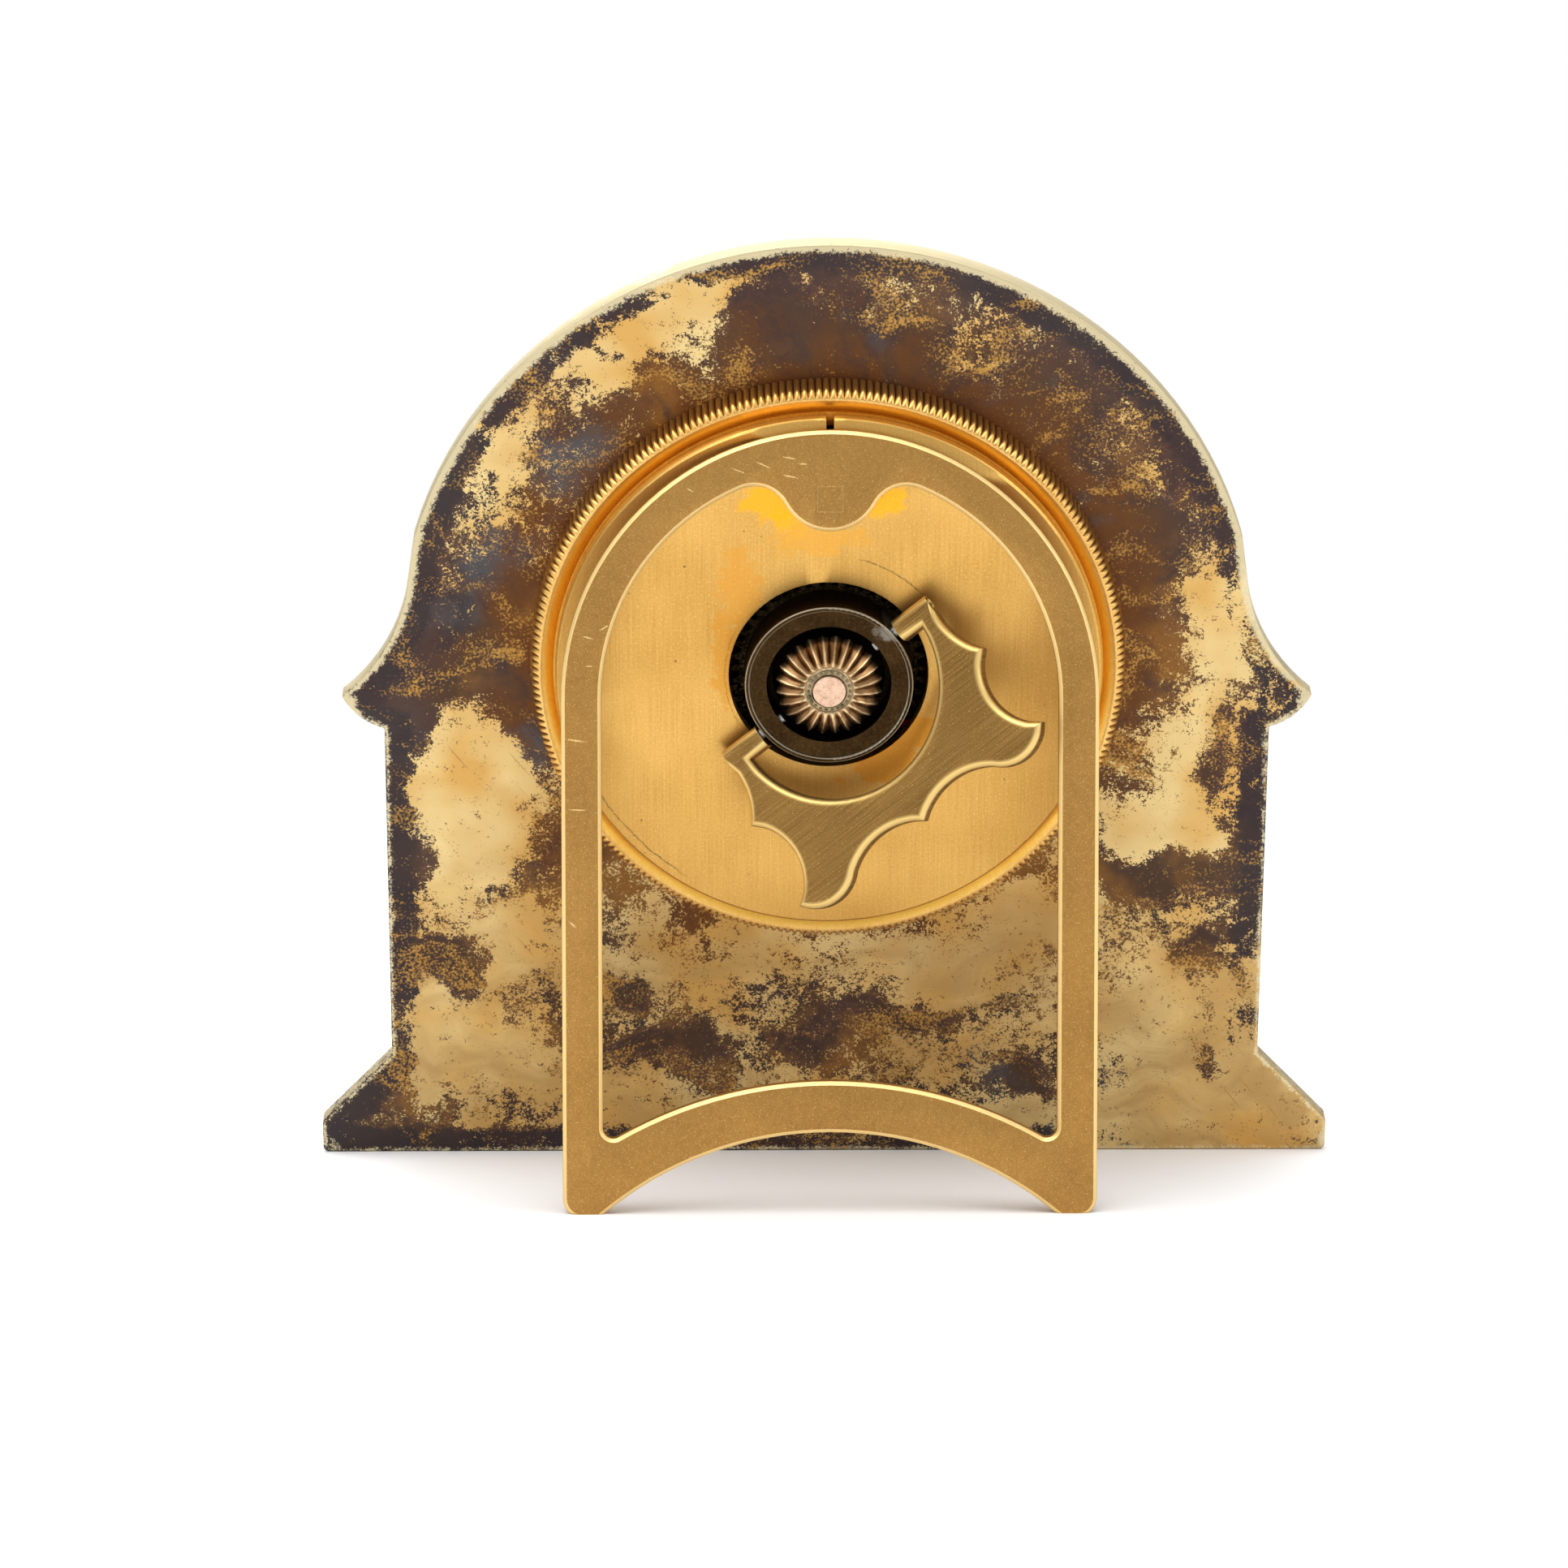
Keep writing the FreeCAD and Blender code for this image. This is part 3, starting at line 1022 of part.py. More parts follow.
ring_low, ring_high = date_low + " - date_ring_thick", date_low
piece("date_ring", cut(rod("date_ring_outer", ring_low, ring_high),
                       slab(date_ring_inside(), ring_low + " - 1", ring_high + " + 1")))
keeper_bore = "date_ring_outer + 2 * running_gap"
keeper_body = tube(keeper_bore + " + keeper_width", keeper_bore, ring_low + " + 0.05", main_face)
keeper_lip = tube(keeper_bore + " + 0.2", "date_ring_outer - 1.5", ring_high + " + running_gap",
                  ring_high + " + 0.4")
piece("date_ring_keeper", fuse(keeper_body, keeper_lip))
jumper_root = around(0, 0, size("date_ring_tip") - 0.5, size("jumper_angle") - 3)
jumper_turn = towards(jumper_foot, jumper_root)
jumper_reach = math.dist(jumper_foot, jumper_root)
arm_points = [(0, -0.45), (jumper_reach, -0.2), (jumper_reach + 0.6, 0.1), (jumper_reach, 0.3), (0, 0.45)]
jumper_arm = slab(polygon(turned(arm_points, jumper_foot, jumper_turn)), ring_low, ring_high)
nose_at = around(0, 0, size("date_ring_tip") - 0.9, size("jumper_angle"))
nose_points = [(-0.1, -0.4), (0.6, -0.4), (1.5, -0.1), (1.5, 0.1), (0.6, 0.4), (-0.1, 0.4)]
nose = slab(polygon(turned(nose_points, nose_at, jumper_angle)), ring_low, ring_high)
foot_x, foot_y = spot(jumper_foot)
piece("date_jumper", fuse(
    jumper_arm, nose, rod("2 * arbor_radius", ring_low, main_face, foot_x, foot_y),
    rod("stud_radius", main_face + " - 0.1", main_face + " + screw_reach", foot_x, foot_y)))

# Dial with its window, screws, hands, glass and bezel

dial_front = "-dial_z - dial_thick"
dial_window = block("-dial_window_width / 2", "dial_window_width / 2",
                    "-dial_window_radius - dial_window_height / 2",
                    "-dial_window_radius + dial_window_height / 2", dial_front + " - 1", "-dial_z + 1")
dial_screw_holes = ring_of_rods("small_screw_radius", "ledge_screw_ring", dial_screw_angles,
                                dial_front + " - 1", "-dial_z + 1")
dial_hole = rod(hour_pipe_radius + " + 0.3", dial_front + " - 1", "0")
piece("dial", cut(rod("dial_radius", dial_front, "-dial_z"), dial_hole, dial_window, *dial_screw_holes))
dial_shanks = ring_of_rods("small_screw_radius", "ledge_screw_ring", dial_screw_angles,
                           dial_front + " - 0.1", "-dial_z + ledge_screw_reach")
dial_heads = ring_of_rods("small_head_radius", "ledge_screw_ring", dial_screw_angles,
                          dial_front + " - small_head_thick", dial_front)
piece("dial_screws", fuse(*dial_shanks, *dial_heads))


def hand(kind, half_root, half_tip, bore):
    """A tapered hand on a round boss, turned to its place on the dial."""
    length, tail = size(kind + "_hand_length"), size(kind + "_hand_tail")
    low, high = "-%s_hand_z - hand_thick" % kind, "-%s_hand_z" % kind
    one_side = [(-tail, half_root), (0, half_root), (0.75 * length, 1.25 * half_root), (length, half_tip)]
    outline = [(along, -across) for along, across in one_side] + one_side[::-1]
    blade = slab(polygon(turned(outline, centre, math.radians(90 + size(kind + "_hand_angle")))), low, high)
    boss = rod(bore + " + hand_boss", low, high)
    return cut(fuse(blade, boss), rod(bore, low + " - 1", high + " + 1"))


piece("hour_hand", hand("hour", 0.55, 0.12, hour_pipe_radius))
piece("minute_hand", hand("minute", 0.42, 0.1, cannon_pipe_radius))
piece("hand_nut", cut(rod("centre_arbor_radius + 0.6", "-hand_tip_z", "-hand_tip_z + 0.2"),
                      rod("centre_arbor_radius", "-hand_tip_z - 1", "0")))
piece("dial_spacer_ring", tube("drum_radius - 0.25", "dial_radius - 0.2", "-crystal_z", dial_front))
piece("crystal", rod("drum_radius - 0.25", "-crystal_z - crystal_thick", "-crystal_z"))
bezel_low = "-plate_back - plate_thick - flange_thick"
bezel_blank = cut(rod("bezel_radius", "-bezel_front", bezel_low),
                  rod("drum_radius + running_gap", "-crystal_z - crystal_thick", bezel_low + " + 1"),
                  rod("bezel_opening", "-bezel_front - 1", bezel_low + " + 1"))
doc.recompute()
bezel_edges = front_edges(bezel_blank.Shape, -size("bezel_front"))
bezel_outer = [edge for edge in bezel_edges if edge.BoundBox.XLength > 2 * size("bezel_radius") - 1]
piece("bezel", shaped(bezel_blank.Shape.makeFillet(size("bezel_round"), bezel_outer)))

# Write each sub-part in its standing place, midway over its own footprint from front to back

doc.recompute()
fore, aft = [], []
for name in ("front_plate", "front_border", "bezel", "strut", "winding_wing"):
    outer = pieces[name].Shape.copy()
    outer.Placement = standing * postures[name] * outer.Placement
    reach = outer.optimalBoundingBox(False, False)
    fore.append(reach.YMin)
    aft.append(reach.YMax)
middle = Placement(Vector(0, -(min(fore) + max(aft)) / 2, 0), Rotation())
for name, thing in pieces.items():
    thing.Placement = middle * standing * postures[name] * thing.Placement
broken = [o.Label for o in doc.Objects if "Invalid" in o.State or "Error" in o.State]
if broken:
    raise RuntimeError("failed objects: " + ", ".join(broken))
os.makedirs("parts", exist_ok=True)
for name, thing in pieces.items():
    if thing.Shape.isNull() or not thing.Shape.isValid():
        raise RuntimeError(name + " has no valid shape")
    thing.Shape.exportStep("parts/%s.step" % name)
    print(name, len(thing.Shape.Solids), round(thing.Shape.Volume, 2))
print("moved from front to back by", round(middle.Base.y, 4))
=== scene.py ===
import bmesh
import bpy
import math
from functools import partial
from mathutils import Matrix, Vector, kdtree


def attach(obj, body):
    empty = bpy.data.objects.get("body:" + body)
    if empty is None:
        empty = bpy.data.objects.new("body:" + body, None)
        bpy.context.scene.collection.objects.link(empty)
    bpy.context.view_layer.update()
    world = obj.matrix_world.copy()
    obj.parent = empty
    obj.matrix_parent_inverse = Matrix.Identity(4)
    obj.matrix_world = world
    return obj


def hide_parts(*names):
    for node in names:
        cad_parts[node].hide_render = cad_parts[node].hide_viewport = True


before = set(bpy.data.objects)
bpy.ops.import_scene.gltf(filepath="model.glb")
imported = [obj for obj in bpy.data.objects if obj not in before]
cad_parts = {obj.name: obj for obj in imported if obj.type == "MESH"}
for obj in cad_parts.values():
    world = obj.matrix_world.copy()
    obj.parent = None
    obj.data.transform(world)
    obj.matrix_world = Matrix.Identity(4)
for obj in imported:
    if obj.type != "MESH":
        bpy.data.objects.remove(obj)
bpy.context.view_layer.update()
scene = bpy.context.scene

# Places are worked out lying on the dial, in mm: x right seen from behind, y up the plate, z rearwards
# from the cover's outer face. benchToWorld stands that up, leaned back, in metres.
stance = {"lean": 15.1, "coverHeight": 55.73, "backShift": 7.191}
lean = math.radians(stance["lean"])
leaned = Matrix(((-1, 0, 0), (0, math.sin(lean), math.cos(lean)), (0, math.cos(lean), -math.sin(lean))))
benchToWorld = (Matrix.Translation((0, stance["backShift"] / 1000, stance["coverHeight"] / 1000)) @ leaned.to_4x4()
                @ Matrix.Scale(0.001, 4))


# Small helpers
def linearFromHex(code):
    parts = [int(code[i:i + 2], 16) / 255 for i in (1, 3, 5)]
    return tuple(c / 12.92 if c <= 0.04045 else ((c + 0.055) / 1.055) ** 2.4 for c in parts) + (1.0,)


def setInputs(node, inputs):
    # an input is a value, a hex colour, an output socket, or a node whose first output in use feeds it
    for name, value in inputs.items():
        if isinstance(value, bpy.types.Node):
            value = next(output for output in value.outputs if output.enabled)
        if isinstance(value, bpy.types.NodeSocket):
            node.id_data.links.new(value, node.inputs[name])
        else:
            node.inputs[name].default_value = linearFromHex(value) if isinstance(value, str) else value


def addNode(tree, kind, inputs=None, **settings):
    node = tree.nodes.new("ShaderNode" + kind)
    for name, value in settings.items():
        setattr(node, name, value)
    setInputs(node, inputs or {})
    return node


def startMaterial(name):
    # a node material with one Principled shader, and the call that adds nodes to it
    material = bpy.data.materials.new(name)
    material.use_nodes = True
    tree = material.node_tree
    tree.nodes.clear()
    add = partial(addNode, tree)
    output = add("OutputMaterial")
    shader = add("BsdfPrincipled")
    setInputs(output, {"Surface": shader})
    return material, add, shader


def placeCoords(add, toWorld):
    # object coordinates turned back to a piece's own drawing place, in mm
    back = toWorld.inverted()
    coords = add("TexCoord")
    return add("Mapping", {
        "Vector": coords.outputs["Object"], "Location": back.to_translation(),
        "Rotation": tuple(back.to_euler()), "Scale": (1000, 1000, 1000)})


# a map range that eases in and out
softly = {"interpolation_type": "SMOOTHSTEP"}


def spotAway(add, spot, x, y, across, high):
    # how far off a stretched round spot is, counted in its own reaches
    local = add("Mapping", {
        "Vector": spot, "Location": (-x / across, -y / high, 0), "Scale": (1 / across, 1 / high, 0)})
    return add("VectorMath", {0: local}, operation="LENGTH")


def placeNormal(add, toWorld):
    # the surface direction in the same drawing place
    coords = add("TexCoord")
    return add("Mapping", {
        "Vector": coords.outputs["Normal"], "Rotation": tuple(toWorld.inverted().to_euler())},
        vector_type="VECTOR")


def dressNode(name, material):
    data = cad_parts[name].data
    data.materials.clear()
    data.materials.append(material)


def cadMesh(name, toWorld):
    # a welded copy of a CAD node in its drawing place, with its flat faces joined up
    bm = bmesh.new()
    bm.from_mesh(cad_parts[name].data)
    bmesh.ops.transform(bm, matrix=toWorld.inverted(), verts=bm.verts)
    bmesh.ops.remove_doubles(bm, verts=bm.verts, dist=0.002)
    bmesh.ops.dissolve_limit(bm, angle_limit=math.radians(0.5), verts=bm.verts, edges=bm.edges)
    return bm


def sharpEdges(bm, angle=35):
    return [e for e in bm.edges if len(e.link_faces) == 2 and e.calc_face_angle(0) > math.radians(angle)]


def roundEdges(bm, edges, width, steps, clamp=True):
    # real rounded edges of a width in mm
    bmesh.ops.bevel(bm, geom=edges, affect="EDGES", offset=width, offset_type="OFFSET", segments=steps, profile=0.5,
                    material=-1, clamp_overlap=clamp)


def spunBlank(profile, steps, layerName, closed):
    # a line of (radius, z, lift) points spun once round the axis; its points remember their lift
    bm = bmesh.new()
    layer = bm.verts.layers.float.new(layerName)
    line = []
    for radius, z, lift in profile:
        point = bm.verts.new((radius, 0, z))
        point[layer] = lift
        line.append(point)
    ends = line[1:] + line[:1] if closed else line[1:]
    edges = [bm.edges.new(pair) for pair in zip(line, ends)]
    bmesh.ops.spin(bm, geom=line + edges, cent=(0, 0, 0), axis=(0, 0, 1), angle=2 * math.pi, steps=steps,
                   use_merge=True)
    return bm, layer


def finishPiece(bm, name, material, body, toWorld=benchToWorld, smooth=30, replaced=None):
    # the mesh goes to its standing place, gets its finish and rides on its body
    bmesh.ops.transform(bm, matrix=toWorld, verts=bm.verts)
    data = bpy.data.meshes.new(name)
    bm.to_mesh(data)
    bm.free()
    data.materials.clear()
    data.materials.append(material)
    data.shade_smooth()
    data.set_sharp_from_angle(angle=math.radians(smooth))
    piece = bpy.data.objects.new(name, data)
    scene.collection.objects.link(piece)
    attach(piece, body)
    if replaced:
        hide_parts(replaced)
    return piece


strutToWorld = (benchToWorld @ Matrix.Translation((0, 20.6, 1.1)) @ Matrix.Rotation(math.radians(-17), 4, "X")
                @ Matrix.Translation((0, -20.6, -1.1)))
wingToWorld = (benchToWorld @ Matrix.Translation((0, 0, 1.8)) @ Matrix.Rotation(math.radians(40), 4, "Z")
               @ Matrix.Rotation(math.radians(-31), 4, "X"))


# Stage: photo camera, pale floor, soft light
cameraView = {"x": 13.67, "y": 712.1, "z": 154.3, "down": 8.888, "aside": -0.728, "lens": 154.5}


def setCamera():
    data = bpy.data.cameras.new("photoCamera")
    data.lens = cameraView["lens"]
    data.sensor_width = 36
    data.clip_start = 0.05
    data.clip_end = 20
    camera = bpy.data.objects.new("photoCamera", data)
    camera.location = (cameraView["x"] / 1000, cameraView["y"] / 1000, cameraView["z"] / 1000)
    camera.rotation_euler = (math.radians(90 - cameraView["down"]), 0, math.radians(180 + cameraView["aside"]))
    scene.collection.objects.link(camera)
    scene.camera = camera


floorLook = {"colour": "#F4F4F5", "fadeFrom": 0.11, "fadeTo": 0.30, "size": 6.0}


def makeFloor():
    material, add, shader = startMaterial("paleStudioBoard")
    setInputs(shader, {"Base Color": floorLook["colour"], "Roughness": 0.9, "Specular IOR Level": 0.1})
    coords = add("TexCoord")
    reach = add("VectorMath", {0: coords.outputs["Object"]}, operation="LENGTH")
    fade = add("MapRange", {
        "Value": reach, "From Min": floorLook["fadeFrom"], "From Max": floorLook["fadeTo"]}, **softly)
    rays = add("LightPath")
    seen = add("Math", {0: fade, 1: rays.outputs["Is Camera Ray"]}, operation="MULTIPLY")
    white = add("Emission", {"Color": (1, 1, 1, 1), "Strength": 1.0})
    mix = add("MixShader", {0: seen, 1: shader, 2: white})
    setInputs(material.node_tree.nodes["Material Output"], {"Surface": mix})
    bm = bmesh.new()
    bmesh.ops.create_grid(bm, x_segments=1, y_segments=1, size=floorLook["size"] / 2)
    data = bpy.data.meshes.new("floor")
    bm.to_mesh(data)
    bm.free()
    data.materials.append(material)
    floor = bpy.data.objects.new("floor", data)
    scene.collection.objects.link(floor)


lamps = {
    "overhead": {"place": (0.15, 0.15, 0.95), "aim": (0, 0, 0.04), "size": 0.9, "power": 7.5},
    "leftSoft": {"place": (0.75, 0.65, 0.5), "aim": (0, 0, 0.05), "size": 0.8, "power": 1.9},
    "rightSoft": {"place": (-0.8, 0.35, 0.4), "aim": (0, 0, 0.05), "size": 0.5, "power": 1.6},
    "dialSide": {"place": (0.1, -0.8, 0.5), "aim": (0, 0, 0.05), "size": 0.7, "power": 3.0},
}
skyLook = {"low": 0.34, "high": 0.85}


def makeLight():
    for name, lamp in lamps.items():
        data = bpy.data.lights.new(name, "AREA")
        data.size = lamp["size"]
        data.energy = lamp["power"]
        light = bpy.data.objects.new(name, data)
        light.location = lamp["place"]
        away = Vector(lamp["place"]) - Vector(lamp["aim"])
        light.rotation_euler = away.to_track_quat("Z", "Y").to_euler()
        scene.collection.objects.link(light)
    world = bpy.data.worlds.new("studio")
    scene.world = world
    world.use_nodes = True
    world.node_tree.nodes.clear()
    add = partial(addNode, world.node_tree)
    coords = add("TexCoord")
    height = add("SeparateXYZ", {"Vector": coords.outputs["Generated"]})
    level = add("MapRange", {"Value": height.outputs["Z"], "From Min": 0.0, "From Max": 0.75,
        "To Min": skyLook["low"], "To Max": skyLook["high"]})
    rays = add("LightPath")
    strength = add("Mix", {0: rays.outputs["Is Camera Ray"], 2: level, 3: 1.0}, data_type="FLOAT")
    sky = add("Background", {"Color": (1, 1, 1, 1), "Strength": strength})
    add("OutputWorld", {"Surface": sky})
    scene.view_settings.view_transform = "Standard"


setCamera()
makeFloor()
makeLight()
print("stage set")


# Front plate: old gilding over brass, worn bright on the rim and heavily tarnished inside it.
# Each patch is where the tarnish is thicker (+) or wiped away (-): x, y, reach across, reach up, weight.
plateLook = {
    "bare": "#DFC589", "warm": "#CFA258", "night": "#2C2833", "umber": "#46332C", "brown": "#664830",
    "plum": "#4A3638", "spark": "#C4954A", "nutReflection": "#6A3C18", "tan": "#96662E", "petrol": "#3F5C6C",
    "lowTan": "#B3925C", "rim": "#D9CBA4", "rimWear": (0.3, 0.75), "base": 0.38, "cloudDepth": 1.5, "leastFilm": -0.06,
    "grainSize": 0.24, "sparkSize": 0.26, "edgeRound": 0.4, "meshStep": 1.6, "reach": (56, 62), "hole": 32,
    "rearLevel": -5.6, "outlineStep": 0.25,
    "patches": [
        (-15.6, 38.1, 6, 3.4, -0.95), (-22, 33.1, 7, 2.8, -0.75), (-34.4, 21.7, 5, 9, -0.45),
        (-14, 42.5, 11, 1.5, -0.9), (-24.6, 37.9, 7, 1.8, -0.7), (-39.5, -11.7, 6, 5, -0.9),
        (-37, -18, 8, 7, -1.1), (-41, -18, 4.5, 10, -0.6), (-32.6, -33.9, 8, 4, -0.7), (-44.5, -43, 2.8, 4.5, -0.8),
        (41.3, 2.2, 3.4, 9, -0.7), (36.2, -11.7, 5, 8, -1.0), (40.5, -18, 4, 5, -0.7), (32, -19, 3.5, 4.5, -0.5),
        (20.9, -30.2, 6, 4.5, -0.6), (13.3, -36.7, 10, 3.5, -0.6), (-10.5, -33.9, 12, 3.5, -0.45),
        (38, -48, 11, 9, -0.4), (-36, -46, 9, 6, -0.4), (0, -57, 50, 3.5, -0.35), (21, 34.6, 8, 4.5, -0.4),
        (33.7, 24.4, 3.5, 7, -0.35), (-28, -50, 10, 4, -0.3),
        (1.4, 43.4, 11, 1.8, 0.8), (-2, 35.6, 15, 5, 0.5), (23.5, 31, 12, 7.5, 0.45), (35.4, 17, 6.5, 13, 0.5),
        (-33.5, 4, 7, 13, 0.4), (-48, -4.3, 5, 4.5, 0.7), (-43, -3, 5, 6, 0.5), (-45.4, -22.8, 1.8, 15, 0.7),
        (-30, -22, 3.4, 7, 0.55), (-39.5, -37.6, 3.4, 3.2, 1.1), (-48.8, -52.4, 7.5, 4.5, 0.45),
        (32, -4.3, 5, 11, 0.45), (37.9, -26.5, 7, 3.2, 0.9), (32, -24.6, 5.5, 2.8, 0.5), (42.6, -37.6, 3.2, 4, 1.1),
        (43.9, -17.2, 1.6, 15, 0.5), (42.2, -47.8, 2, 2, 1.0), (-22.4, -38.5, 2.8, 2.4, 0.7), (-19, -47, 8, 4, 0.55),
        (11.6, -42.7, 10, 2.6, 0.6), (19, -52.4, 6, 2.2, 0.5), (30.7, -49.6, 3.4, 2.8, 0.4), (-2, -45, 11, 4.5, 0.3),
        (-24, 36.5, 3.8, 2.4, 0.6), (-38, 31, 5, 5, 0.3), (46, -57, 10, 9, -1.9), (46, -38, 4, 7, -0.9),
        (36, -59, 9, 4, -1.2), (50, -2, 4, 4, -1.0), (36, -42, 6, 4, -0.6), (46, 3, 4, 6, -0.6), (22, 26, 9, 4, 0.2)],
}


def makePlateMaterial():
    material, add, shader = startMaterial("tarnishedGilding")
    spot = placeCoords(add, benchToWorld)
    # the patches' edges wander by a few mm, and again by half a millimetre
    broad = add("TexNoise", {"Vector": spot, "Scale": 1 / 11, "Detail": 2.0})
    fine = add("TexNoise", {"Vector": spot, "Scale": 1 / 2.4, "Detail": 5.0, "Roughness": 0.7})
    push = add("VectorMath", {0: broad.outputs["Color"], 1: (-0.5, -0.5, -0.5)}, operation="ADD")
    push = add("VectorMath", {0: push, 1: (16, 16, 0), 2: spot}, operation="MULTIPLY_ADD")
    nudge = add("VectorMath", {0: fine.outputs["Color"], 1: (-0.5, -0.5, -0.5)}, operation="ADD")
    moved = add("VectorMath", {0: nudge, 1: (6, 6, 0), 2: push}, operation="MULTIPLY_ADD")
    total = None
    for x, y, across, high, weight in plateLook["patches"]:
        far = spotAway(add, moved, x, y, across, high)
        soft = add("MapRange", {
            "Value": far, "From Min": 0.3, "From Max": 1.5, "To Min": weight, "To Max": 0.0}, **softly)
        total = soft if total is None else add("Math", {0: total, 1: soft}, operation="ADD")
    # a broad band round the case is darker and fades downwards: partly thicker film, partly painted shade cast by the
    # nut
    around = add("VectorMath", {0: moved, 1: (1, 1, 0)}, operation="MULTIPLY")
    radius = add("VectorMath", {0: around}, operation="LENGTH")
    filmAndShadeBand = add("MapRange", {"Value": radius, "From Min": 48, "From Max": 33, "To Max": 0.6}, **softly)
    height = add("SeparateXYZ", {"Vector": spot})
    upper = add("MapRange", {
        "Value": height.outputs["Y"], "From Min": -34, "From Max": -4, "To Min": 0.1, "To Max": 1.0})
    depth = add("Math", {0: filmAndShadeBand, 1: upper, 2: total}, operation="MULTIPLY_ADD")
    cloud = add("TexNoise", {"Vector": moved, "Scale": 1 / 9, "Detail": 8.0, "Roughness": 0.68, "Distortion": 0.4})
    cloudy = add("MapRange", {
        "Value": cloud, "From Min": 0.25, "From Max": 0.75,
        "To Min": plateLook["base"] - plateLook["cloudDepth"] / 2,
        "To Max": plateLook["base"] + plateLook["cloudDepth"] / 2})
    depth = add("Math", {0: depth, 1: cloudy}, operation="ADD")
    # a dark line of dirt lies just inside the worn rim
    rimAway = add("Attribute", attribute_name="rimDistance")
    ragged = add("Math", {0: fine, 1: 3.2, 2: rimAway.outputs["Fac"]}, operation="MULTIPLY_ADD")
    dirt = add("MapRange", {"Value": ragged, "From Min": 5.0, "From Max": 3.6, "To Max": 0.8}, **softly)
    depth = add("Math", {0: depth, 1: dirt}, operation="ADD")
    depth = add("Math", {0: depth, 1: plateLook["leastFilm"]}, operation="MAXIMUM")
    # the film breaks up into grains: few where it is thin, nearly all where it is thick; the real ones are
    # near 0.1 mm, and are drawn coarser so that they show
    grain = add("TexNoise", {"Vector": spot, "Scale": 1 / plateLook["grainSize"], "Detail": 3.0, "Roughness": 0.7})
    clump = add("TexNoise", {"Vector": spot, "Scale": 1 / 1.1, "Detail": 2.0, "W": 5.0}, noise_dimensions="4D")
    mixed = add("Math", {0: clump, 1: 0.55, 2: grain}, operation="MULTIPLY_ADD")
    level = add("MapRange", {
        "Value": mixed, "From Min": 0.62, "From Max": 0.95, "To Min": 0.0, "To Max": 1.0}, clamp=False)
    thick = add("Math", {0: depth, 1: level}, operation="SUBTRACT")
    film = add("MapRange", {"Value": thick, "From Min": -0.06, "From Max": 0.07, "To Max": 0.96}, **softly)
    # the film is blue-black where it stopped, brown and plum further in; by the case it is tinted orange-brown, a
    # painted reflection of the nut
    ramp = add("ValToRGB", {"Fac": depth})
    stops = ramp.color_ramp.elements
    for place, colour in ((0.30, "brown"), (0.46, "night"), (0.62, "umber"), (0.78, "brown"), (0.95, "plum")):
        stop = stops.new(place)
        stop.color = linearFromHex(plateLook[colour])
    stops.remove(stops[0])
    stops[-1].position = 1.0
    stops[-1].color = linearFromHex(plateLook["umber"])
    # painted orange reflection of the nut on the plate, strongest right beside it
    nearNut = add("MapRange", {"Value": radius, "From Min": 41, "From Max": 32, "To Max": 0.75}, **softly)
    nutReflected = add("Mix", {0: nearNut, 6: ramp, 7: plateLook["nutReflection"]}, data_type="RGBA")
    hue = add("TexNoise", {"Vector": spot, "Scale": 1 / 13, "Detail": 5.0, "W": 3.0}, noise_dimensions="4D")
    blue = add("MapRange", {"Value": hue, "From Min": 0.55, "From Max": 0.68, "To Max": 0.6}, **softly)
    tinted = add("Mix", {0: blue, 6: nutReflected, 7: plateLook["petrol"]}, data_type="RGBA")
    warmer = add("MapRange", {"Value": hue, "From Min": 0.46, "From Max": 0.34, "To Max": 0.6}, **softly)
    tinted = add("Mix", {0: warmer, 6: tinted, 7: plateLook["tan"]}, data_type="RGBA")
    drag = add("Mapping", {"Vector": push, "Rotation": (0, 0, math.radians(24)), "Scale": (1 / 10, 1 / 4, 1)})
    smear = add("TexNoise", {"Vector": drag, "Scale": 1.0, "Detail": 7.0, "Roughness": 0.6})
    # gold shows through the film as fine sparks, in clumps
    spark = add("TexNoise", {"Vector": spot, "Scale": 1 / plateLook["sparkSize"], "Detail": 2.0, "W": 8.0},
        noise_dimensions="4D")
    sparkle = add("Math", {0: smear, 1: 1.5, 2: spark}, operation="MULTIPLY_ADD")
    sparks = add("MapRange", {"Value": sparkle, "From Min": 1.34, "From Max": 1.56, "To Max": 0.85})
    # darker crusts stand here and there in the film
    crust = add("TexNoise", {
        "Vector": moved, "Scale": 1 / 4.5, "Detail": 7.0, "Roughness": 0.75, "W": 11.0}, noise_dimensions="4D")
    crusty = add("MapRange", {"Value": crust, "From Min": 0.5, "From Max": 0.66, "To Max": 0.75})
    edged = add("Math", {0: crusty, 1: dirt}, operation="ADD", use_clamp=True)
    # the arch is purple-black for some millimetres inside its rim
    shaded = add("MapRange", {"Value": ragged, "From Min": 10.0, "From Max": 4.5, "To Max": 0.7}, **softly)
    arched = add("Math", {0: shaded, 1: upper}, operation="MULTIPLY")
    purple = add("Mix", {0: arched, 6: tinted, 7: plateLook["plum"]}, data_type="RGBA")
    crusted = add("Mix", {0: edged, 6: purple, 7: plateLook["night"]}, data_type="RGBA")
    gilt = add("Mix", {0: sparks, 6: crusted, 7: plateLook["spark"]}, data_type="RGBA")
    # bare gilding varies from straw to warm gold, and turns a duller tan in streaks towards the bottom of the plate
    bare = add("MapRange", {"Value": broad, "From Min": 0.40, "From Max": 0.62})
    straw = add("Mix", {0: bare, 6: plateLook["bare"], 7: plateLook["warm"]}, data_type="RGBA")
    low = add("MapRange", {
        "Value": height.outputs["Y"], "From Min": -20, "From Max": -42, "To Min": 0.25, "To Max": 1.0})
    smearing = add("MapRange", {"Value": smear, "From Min": 0.30, "From Max": 0.66, "To Max": 0.9})
    lowTanShare = add("Math", {0: low, 1: smearing}, operation="MULTIPLY")
    lowTanned = add("Mix", {0: lowTanShare, 6: straw, 7: plateLook["lowTan"]}, data_type="RGBA")
